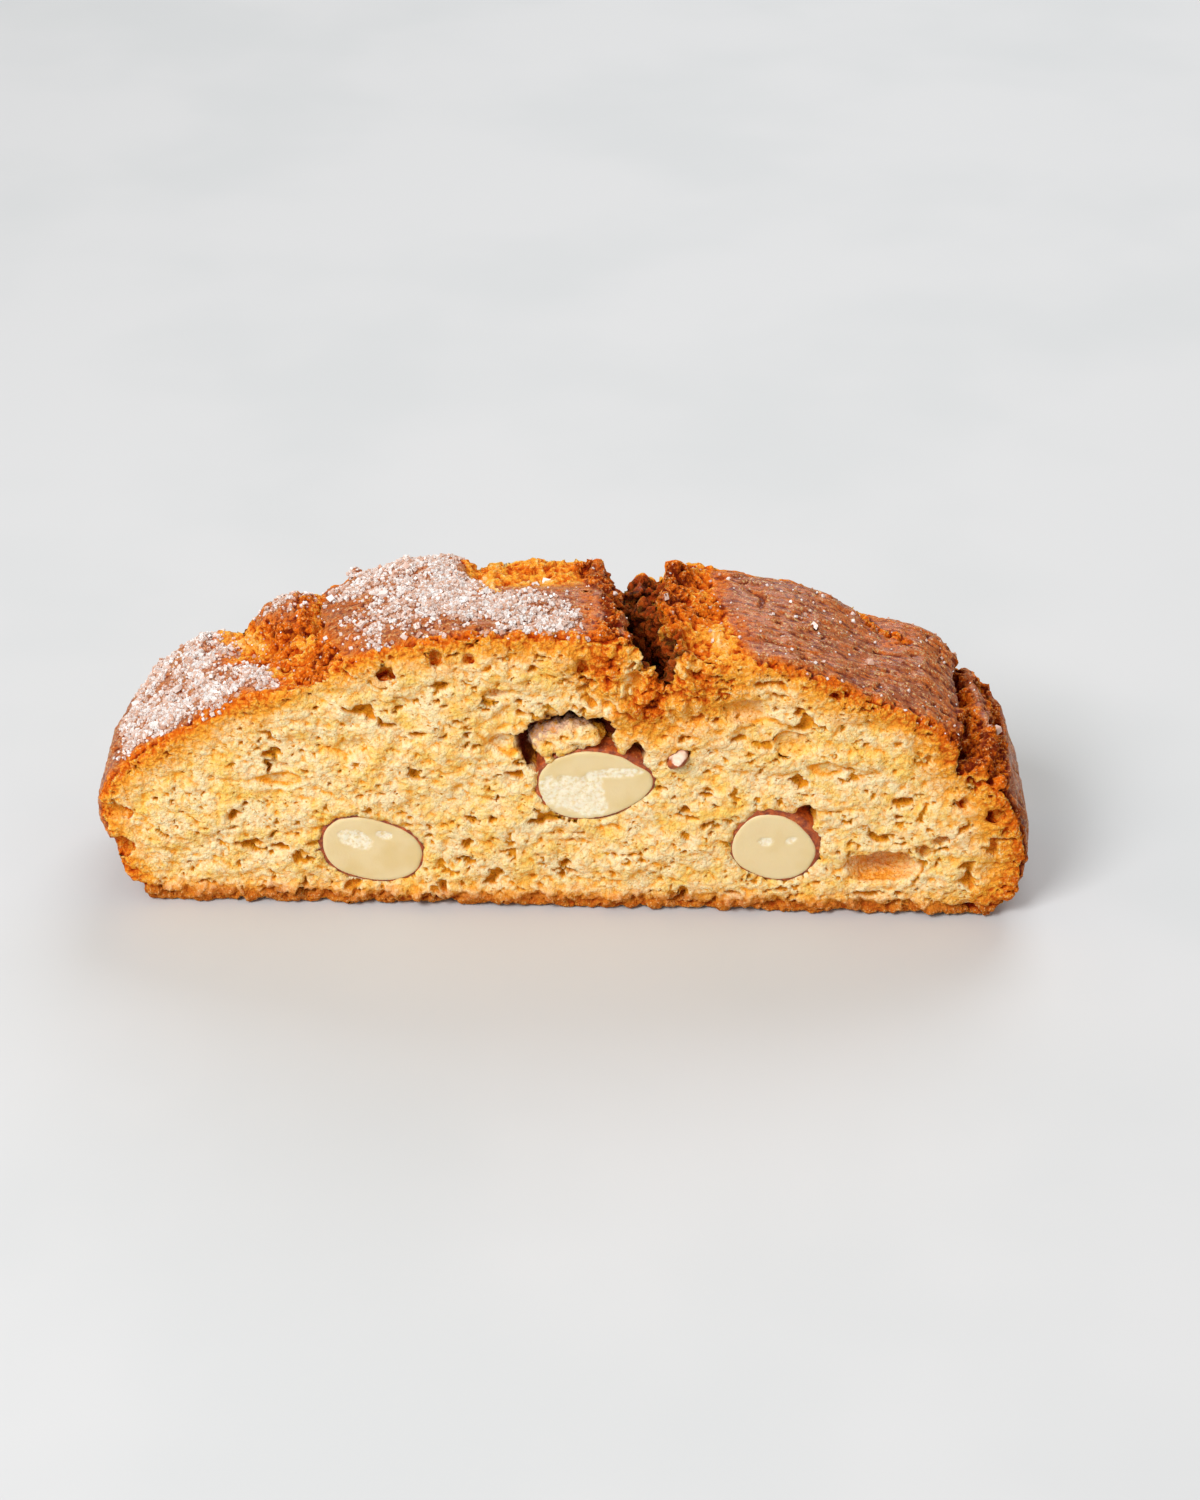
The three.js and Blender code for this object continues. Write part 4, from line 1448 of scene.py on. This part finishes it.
    def thin(self, obj: bpy.types.Object, seam: list[int]) -> None:
        """Merges small faces, first where the almonds hide them, until the triangles fit.

        Args:
            obj: one half.
            seam: its points on the middle plane, which stay.
        """
        x, y, z = positions(obj.data).T
        low, high = self.hidden_z
        hidden = (np.abs(x) < self.hidden_x) & (np.abs(y) < self.hidden_y) & (z > low) & (z < high)
        inner, outer = (np.nonzero(part)[0].tolist() for part in (hidden, ~hidden))
        group = obj.vertex_groups.new(name="hidden")
        for points, share in ((inner, 1.0), (outer, self.shown_share), (seam, 0.0)):
            group.add(points, share, "REPLACE")
        count = len(obj.data.polygons)
        if count > self.triangles:
            decimate = obj.modifiers.new("thin", "DECIMATE")
            decimate.ratio = self.triangles / count
            decimate.vertex_group = group.name
            decimate.vertex_group_factor = 1.0
            applied(obj)
        obj.vertex_groups.clear()


# ---------------------------------------------------------------- almonds


@dataclass
class Almond:
    """One almond, lying through the slice, cut by its two faces: a kernel in a thin skin.

    share says where along its half length the front face cuts it, and tip is 1 where the point lies at the
    back. egg is how much lower its +X side is, square how full its section is, and rise lifts the far end.
    crescents are stretches of thick skin at the cut, as (angle, width, thickness), and chips are the places
    where the cut has crumbled, as (x, z, half width, half height, turn) from its middle.
    """

    name: str
    x: float
    z: float
    width: float
    height: float
    share: float
    tip: int
    egg: float
    square: float
    roll: float
    rise: float
    crescents: tuple[tuple[float, float, float], ...] = ()
    chips: tuple[tuple[float, float, float, float, float], ...] = ()
    length: float = 27.0
    width_taper: tuple[float, float] = (0.5, 0.22)
    height_taper: tuple[float, float] = (0.3, 0.15)
    skin: float = 0.17
    skin_bulge: float = 0.14  # how far the skin stands past the almond's own outline
    skin_behind: float = 0.14  # how far its cut edge lies behind the slice's face
    kernel_ahead: float = 0.05  # how far the kernel's cut stands out of it
    face_size: float = 0.19
    quick_size: float = 0.34

    def build(self) -> list[bpy.types.Object]:
        """Makes the almond's skin and kernel.

        Returns:
            The two objects.
        """
        node = f"almond_{self.name}"
        skin = self.body(f"{node}_skin", HALF_THICKNESS - self.skin_behind, False)
        kernel = self.body(f"{node}_kernel", HALF_THICKNESS + self.kernel_ahead, True)
        present(skin, SkinFinish().material(), "almond_skin", node)
        present(kernel, KernelFinish().material(), "almond", node)
        return [skin, kernel]

    def taper(self, t: np.ndarray | float, full: float, slim: float) -> np.ndarray | float:
        """How much of its full width the almond has at t, from -1 at the blunt end to 1 at the point."""
        return np.maximum(0, 1 - np.square(t)) ** full * (1 - slim * np.asarray(t))

    def body(self, name: str, face: float, bare: bool) -> bpy.types.Object:
        """An almond's form, cut flat at both faces.

        Args:
            name: the object's name.
            face: distance from the middle plane to its cuts.
            bare: whether it is the kernel, which keeps inside the skin.

        Returns:
            The object.
        """
        work = bmesh.new()
        bmesh.ops.create_uvsphere(work, u_segments=96, v_segments=64, radius=1.0)
        unit = np.array([v.co[:] for v in work.verts])
        for vertex, place in zip(work.verts, self.shaped(unit, bare)):
            vertex.co = Vector(place) * MM
        for side in (-1, 1):
            geometry = [*work.verts, *work.edges, *work.faces]
            plane = {"plane_co": (0, side * face * MM, 0), "plane_no": (0, side, 0)}
            cut = bmesh.ops.bisect_plane(work, geom=geometry, clear_outer=True, **plane)
            rim = [e for e in cut["geom_cut"] if isinstance(e, bmesh.types.BMEdge)]
            bmesh.ops.holes_fill(work, edges=rim)
        bmesh.ops.recalc_face_normals(work, faces=work.faces)
        obj = new_object(name, mesh_of(work, name))
        mesh = evened(obj, self.face_size)
        self.dress(mesh, face, bare)
        mesh.shade_smooth()
        return obj

    def shaped(self, unit: np.ndarray, bare: bool) -> np.ndarray:
        """Bends a unit ball into the almond in its place.

        Args:
            unit: the ball's points.
            bare: whether it is the kernel, which keeps inside the skin.

        Returns:
            The almond's points in millimetres.
        """
        x, t, z = unit[:, 0], np.clip(unit[:, 2], -1, 1), unit[:, 1]
        ring = np.maximum(np.hypot(x, z), 1e-9)
        angle = np.arctan2(z, x)
        across = np.sign(x) * np.abs(x / ring) ** self.square
        up = np.sign(z) * np.abs(z / ring) ** self.square
        cut = -self.share * self.tip
        half_width = self.width / 2 / self.taper(cut, *self.width_taper)
        half_height = self.height / 2 / self.taper(cut, *self.height_taper)
        grow = np.full(len(unit), self.skin_bulge)
        if bare:
            grow = np.full(len(unit), -self.skin)
            for at, wide, thick in self.crescents:
                turn = (angle - math.radians(at) + math.pi) % (2 * math.pi) - math.pi
                grow -= thick * np.exp(-((turn / math.radians(wide)) ** 2))
            grow += 0.05 * waves(np.stack([angle * 4, t, 0 * t], 1), (1.0, 1.4, 1.0), 61)
        px = across * half_width * self.taper(t * self.tip, *self.width_taper)
        pz = up * (1 - self.egg * across) * half_height * self.taper(t * self.tip, *self.height_taper)
        size = np.maximum(np.hypot(px, pz), 1e-6)
        larger = np.maximum(size + grow, 0.01) / size
        px, pz = px * larger, pz * larger
        roll, rise = math.radians(self.roll), math.radians(self.rise)
        px, pz = px * math.cos(roll) - pz * math.sin(roll), px * math.sin(roll) + pz * math.cos(roll)
        py = (t + self.share) * self.length / 2
        py, pz = py * math.cos(rise) - pz * math.sin(rise), py * math.sin(rise) + pz * math.cos(rise)
        return np.stack([px + self.x, py - HALF_THICKNESS, pz + self.z], 1)

    def dress(self, mesh: bpy.types.Mesh, face: float, bare: bool) -> None:
        """Roughens the surface and records where the kernel has crumbled.

        Args:
            mesh: the almond's even mesh.
            face: distance from the middle plane to its cuts.
            bare: whether it is the kernel.
        """
        p = neighbours_mean(mesh, positions(mesh), 2)
        move(mesh, p)
        facing = normals(mesh)
        chip = np.zeros(len(p))
        if bare:
            u, v = p[:, 0] - self.x, p[:, 2] - self.z
            ragged = 0.35 * waves(p, 0.9, 71) + 0.3 * waves(p, 0.4, 73)
            for cx, cz, rx, rz, turn in self.chips:
                c, s = math.cos(math.radians(turn)), math.sin(math.radians(turn))
                a, b = (u - cx) * c + (v - cz) * s, (v - cz) * c - (u - cx) * s
                chip = np.maximum(chip, ease(1.12, 0.88, (a / rx) ** 2 + (b / rz) ** 2 + ragged))
            chip *= np.abs(p[:, 1]) > face - 0.5
            crumbled = 0.09 + 0.05 * waves(p, 0.7, 77) + 0.03 * waves(p, 0.3, 76)
            height = 0.02 * waves(p, 1.5, 75) - chip * crumbled
        else:
            height = 0.08 * waves(p, (1.2, 3, 1.2), 79) + 0.03 * waves(p, 0.6, 78)
        move(mesh, p + facing * height[:, None])
        record(mesh, "chip", chip)


@dataclass
class SkinChip:
    """The small piece of almond skin in the crumb, dusted with crumbs on its upper side."""

    face_size: float = 0.12

    def build(self) -> bpy.types.Object:
        """Grows the chip's rough surface from its solid.

        Returns:
            The object.
        """
        obj = merged_copy("almond_chip", "almond_chip_rough")
        mesh = evened(obj, self.face_size)
        p = positions(mesh)
        facing = normals(mesh)
        height = 0.22 * (clumps(p, 1.0, 85) - 0.6) + 0.12 * (clumps(p, 0.45, 87) - 0.5)
        move(mesh, p + facing * height[:, None])
        record(mesh, "dusty", ease(0.25, 0.7, facing[:, 2] + 0.5 * waves(p, 0.7, 89)))
        mesh.shade_smooth()
        return present(obj, SkinFinish().material(), "almond_skin", "almond_chip")


# ---------------------------------------------------------------- sugar


@dataclass(frozen=True)
class Faces:
    """A mesh's small faces: their middles, directions and areas, in millimetres."""

    centre: np.ndarray
    normal: np.ndarray
    area: np.ndarray


@dataclass
class Sugar:
    """Sugar crystals stuck to the crust.

    fine_sizes and stray_sizes are the least width, what the largest has more, and how rare large ones are.
    The coarse crystals go from the first of coarse_sizes to the second, as far in as the solid has them.
    """

    section: Section
    crust: bpy.types.Mesh
    fine: int = 11_000
    fine_sizes: tuple[float, float, float] = (0.2, 0.26, 1.6)
    stray: int = 420
    stray_sizes: tuple[float, float, float] = (0.14, 0.32, 3)
    stray_run: tuple[float, float] = (-50, 52)
    coarse: int = 60
    coarse_sizes: tuple[float, float] = (0.85, 0.5)
    coarse_sunk: float = 0.6
    coarse_steps: tuple[float, float] = (0.7548776662, 0.569840291)  # these spread points evenly
    seed: int = 7

    def build(self) -> list[bpy.types.Object]:
        """Makes the crystals.

        Returns:
            Their objects.
        """
        rng = np.random.default_rng(self.seed)
        faces = self.crust_faces()
        run, inset, out = self.section.locate(faces.centre)
        y = faces.centre[:, 1]
        outward = faces.normal[:, 0] * out[:, 0] + faces.normal[:, 2] * out[:, 1]
        on_crust = (~np.isnan(run)) & (inset < 1.6) & (outward > 0.15) & (np.abs(y) < 10.2)
        run = np.where(np.isnan(run), OFF_OUTLINE, run)
        density = sugar_share(run, y) * ease(-10.4, -7.4, y + waves(faces.centre, 1.6, 94))
        crowd = ease(-0.55, 0.35, waves(faces.centre, 1.9, 91) + 0.5 * waves(faces.centre, 0.8, 93))
        weight = faces.area * on_crust * density**1.3 * (0.14 + crowd)
        fine = self.strewn("biscotto_sugar_fine", faces, weight, self.fine, self.fine_sizes, rng)
        first, last = self.stray_run
        weight = faces.area * (on_crust & (run > first) & (run < last))
        stray = self.strewn("biscotto_sugar_stray", faces, weight, self.stray, self.stray_sizes, rng)
        coarse = self.crystals("biscotto_sugar_coarse", *self.coarse_places(), rng)
        material = SugarFinish().material()
        return [present(obj, material, "sugar") for obj in (fine, stray, coarse)]

    def crust_faces(self) -> Faces:
        """Measures the triangles of the dough's surface.

        Returns:
            The triangles.
        """
        self.crust.calc_loop_triangles()
        corners = np.empty(len(self.crust.loop_triangles) * 3, np.int32)
        self.crust.loop_triangles.foreach_get("vertices", corners)
        a, b, c = (positions(self.crust)[corner] for corner in corners.reshape(-1, 3).T)
        cross = np.cross(b - a, c - a)
        area = np.linalg.norm(cross, axis=1) / 2
        return Faces((a + b + c) / 3, cross / np.maximum(2 * area, 1e-9)[:, None], area)

    def strewn(
        self,
        name: str,
        faces: Faces,
        weight: np.ndarray,
        count: int,
        sizes: tuple[float, float, float],
        rng: np.random.Generator,
    ) -> bpy.types.Object:
        """Strews crystals over a surface.

        Args:
            name: the object's name.
            faces: the surface.
            weight: how many fall on each face, as a share of any sum.
            count: how many fall in all.
            sizes: the least width, what the largest has more, and how rare large ones are.
            rng: seeded draws.

        Returns:
            The object.
        """
        least, more, rarity = sizes
        chosen = rng.choice(len(weight), count, p=weight / weight.sum())
        size = least + more * rng.random(count) ** rarity
        return self.crystals(name, faces.centre[chosen], faces.normal[chosen], size, rng)

    def coarse_places(self) -> tuple[np.ndarray, np.ndarray, np.ndarray]:
        """Where the dough's solid carries its coarse crystals.

        Returns:
            Their places, directions and sizes.
        """
        tree = surface_of("dough")
        largest, smallest = self.coarse_sizes
        places, facing, sizes = [], [], []
        found = n = 0
        while found < self.coarse:
            n += 1
            along, through = ((n * step) % 1 for step in self.coarse_steps)
            run, y = np.array([-60 + 120 * along]), np.array([(2 * through - 1) * (HALF_THICKNESS - 1.2)])
            nearest = min(float(edge_distance(outline, run, y)[0]) for outline in SUGARED)
            draw = float(lattice(np.array([n * 1.0]), np.array([2.0]), np.array([3.0]))[0])
            if nearest > -0.6 and draw > 0.05:
                continue
            size = largest + (smallest - largest) * found / self.coarse
            found += 1
            point, out = (row[0] for row in self.section.at(run))
            above = point + 8.0 * out
            start = Vector((above[0], y[0], above[1])) * MM
            hit, _, _, _ = tree.ray_cast(start, Vector((-out[0], 0, -out[1])))
            if hit is not None:
                normal = np.array([out[0], 0, out[1]])
                places.append(np.array(hit) / MM - normal * self.coarse_sunk)
                facing.append(normal)
                sizes.append(size)
        return np.array(places), np.array(facing), np.array(sizes)

    def crystals(
        self, name: str, places: np.ndarray, facing: np.ndarray, sizes: np.ndarray, rng: np.random.Generator
    ) -> bpy.types.Object:
        """Copies a rough crystal to many places as one mesh.

        Args:
            name: the object's name.
            places: where each sits, in millimetres.
            facing: the surface's direction there.
            sizes: each one's width in millimetres.
            rng: seeded draws.

        Returns:
            The object.
        """
        work = bmesh.new()
        bmesh.ops.create_cube(work, size=1.0)
        bmesh.ops.triangulate(work, faces=work.faces)
        corners = np.array([v.co[:] for v in work.verts])
        faces = np.array([[v.index for v in f.verts] for f in work.faces])
        work.free()
        count = len(places)
        shape = corners[None] * (1 + 0.5 * (rng.random((count, 8, 3)) - 0.5))
        shape = shape * sizes[:, None, None] * (0.65 + 0.5 * rng.random((count, 1, 3)))
        quaternion = rng.normal(size=(count, 4))
        quaternion /= np.linalg.norm(quaternion, axis=1)[:, None]
        w, x, y, z = quaternion.T
        turn = np.stack(
            [
                np.stack([1 - 2 * (y * y + z * z), 2 * (x * y - w * z), 2 * (x * z + w * y)], 1),
                np.stack([2 * (x * y + w * z), 1 - 2 * (x * x + z * z), 2 * (y * z - w * x)], 1),
                np.stack([2 * (x * z - w * y), 2 * (y * z + w * x), 1 - 2 * (x * x + y * y)], 1),
            ],
            1,
        )
        shape = np.einsum("nij,nkj->nki", turn, shape)
        shape += (places + facing * 0.22 * sizes[:, None])[:, None]
        vertices = (shape.reshape(-1, 3) * MM).tolist()
        triangles = (faces[None] + 8 * np.arange(count)[:, None, None]).reshape(-1, 3).tolist()
        mesh = bpy.data.meshes.new(name)
        mesh.from_pydata(vertices, [], triangles)
        record(mesh, "tint", np.repeat(rng.random(count), len(corners)))
        return new_object(name, mesh)


# ---------------------------------------------------------------- the studio


@dataclass
class Studio:
    """A pale floor, soft light and the camera."""

    lens: float = 65.0
    azimuth: float = 2.1
    elevation: float = 32.6
    distance: float = 312.0
    target: tuple[float, float, float] = (4.4, -10.5, 22.6)
    lit_point: tuple[float, float, float] = (0, 0, 15)
    surroundings: Colour = (1.0, 0.965, 0.91, 1)
    surroundings_strength: float = 0.5
    floor_size: float = 4.0  # half its width, in metres
    floor_gap: float = 0.05  # under the slice

    def build(self) -> None:
        """Makes the floor, the light and the camera."""
        self.floor()
        self.world()
        self.lamp("key", at=(-400, -470, 620), size=340, power=6.4, colour=(1.0, 0.985, 0.965))
        self.lamp("back", at=(160, 620, 620), size=520, power=3.2, colour=(0.97, 0.985, 1.0))
        self.camera()
        view = bpy.context.scene.view_settings
        view.view_transform = "Standard"
        view.look = "None"

    def floor(self) -> None:
        """The pale table top."""
        work = bmesh.new()
        bmesh.ops.create_grid(work, x_segments=1, y_segments=1, size=self.floor_size)
        mesh = mesh_of(work, "table_top")
        obj = new_object("table_top", mesh)
        obj.location.z = -self.floor_gap * MM
        g = Graph("table_top")
        tone = g.mix(g.grain(60, 3, 0.5, 15).step(0.4, 0.65), paint(202, 204, 207), paint(197, 200, 203))
        mesh.materials.append(g.finish(Base_Color=tone, Roughness=0.6))

    def world(self) -> None:
        """Soft light from everywhere."""
        world = bpy.data.worlds.new("studio")
        world.use_nodes = True
        background = world.node_tree.nodes["Background"]
        background.inputs["Color"].default_value = self.surroundings
        background.inputs["Strength"].default_value = self.surroundings_strength
        bpy.context.scene.world = world

    def lamp(
        self, name: str, at: tuple[float, float, float], size: float, power: float, colour: Sequence[float]
    ) -> None:
        """Adds one square softbox that looks at the slice.

        Args:
            name: the light's name.
            at: its place in millimetres.
            size: its width in millimetres.
            power: its power in watts.
            colour: its colour.
        """
        light = bpy.data.lights.new(name, "AREA")
        light.shape = "SQUARE"
        light.size = size * MM
        light.energy = power
        light.color = colour
        obj = bpy.data.objects.new(name, light)
        obj.location = Vector(at) * MM
        ahead = Vector(self.lit_point) - Vector(at)
        obj.rotation_euler = ahead.to_track_quat("-Z", "Y").to_euler()
        bpy.context.scene.collection.objects.link(obj)

    def camera(self) -> None:
        """The camera, at a table-side height in front of the cut face."""
        azimuth, elevation = math.radians(self.azimuth), math.radians(self.elevation)
        back = Vector(
            (
                math.sin(azimuth) * math.cos(elevation),
                -math.cos(azimuth) * math.cos(elevation),
                math.sin(elevation),
            )
        )
        data = bpy.data.cameras.new("camera")
        data.lens = self.lens
        data.sensor_width = 36.0
        data.clip_start = 0.01
        obj = bpy.data.objects.new("camera", data)
        obj.location = (Vector(self.target) + back * self.distance) * MM
        obj.rotation_euler = (-back).to_track_quat("-Z", "Y").to_euler()
        bpy.context.scene.collection.objects.link(obj)
        bpy.context.scene.camera = obj


# ---------------------------------------------------------------- the biscotto


@dataclass
class Biscotto:
    """The whole slice."""

    def build(self) -> list[bpy.types.Object]:
        """Makes every piece.

        Returns:
            The pieces, dough first.
        """
        section = Section(OUTLINE)
        pieces, crust = Dough(section).build()
        for almond in self.almonds():
            pieces += almond.build()
        pieces += Sugar(section, crust).build()
        pieces.append(SkinChip().build())
        return pieces

    def almonds(self) -> list[Almond]:
        """Describes the three almonds that the cut went through.

        Returns:
            The left, the middle and the right one.
        """
        return [
            Almond(
                name="left", x=-22.7, z=7.9, width=12.3, height=8.9, share=0.7, tip=1,
                egg=0.04, square=0.9, roll=-13, rise=1,
                crescents=((200, 34, 0.35), (75, 18, 0.15)),
                chips=((-1.8, 1.5, 2.2, 1.2, -20), (1.6, 2.2, 1.0, 0.5, -15)),
            ),
            Almond(
                name="middle", x=3.8, z=17.6, width=13.8, height=9.3, share=0.6, tip=1,
                egg=0.16, square=1.0, roll=8, rise=9,
                crescents=((35, 22, 0.45), (180, 20, 0.2)),
                chips=((-2.5, -1.3, 4.1, 2.5, -16), (-0.4, 0.6, 1.4, 1.2, 60), (2.4, 1.9, 2.9, 0.7, 4)),
            ),
            Almond(
                name="right", x=25.1, z=9.6, width=10.2, height=9.6, share=0.6, tip=-1,
                egg=0.08, square=0.88, roll=-26, rise=0,
                crescents=((60, 45, 0.75), (125, 35, 0.5)),
                chips=((-1.2, 0.6, 0.9, 0.6, 10), (1.7, 0.9, 0.7, 0.4, 30)),
            ),
        ]  # fmt: skip


def main() -> None:
    """Builds the studio and the biscotto, and reports each piece."""
    logging.basicConfig(level=logging.INFO, format="%(message)s")
    Studio().build()
    for piece in Biscotto().build():
        logging.info("%s: %d faces", piece.name, len(piece.data.polygons))


if __name__ == "__main__":
    main()
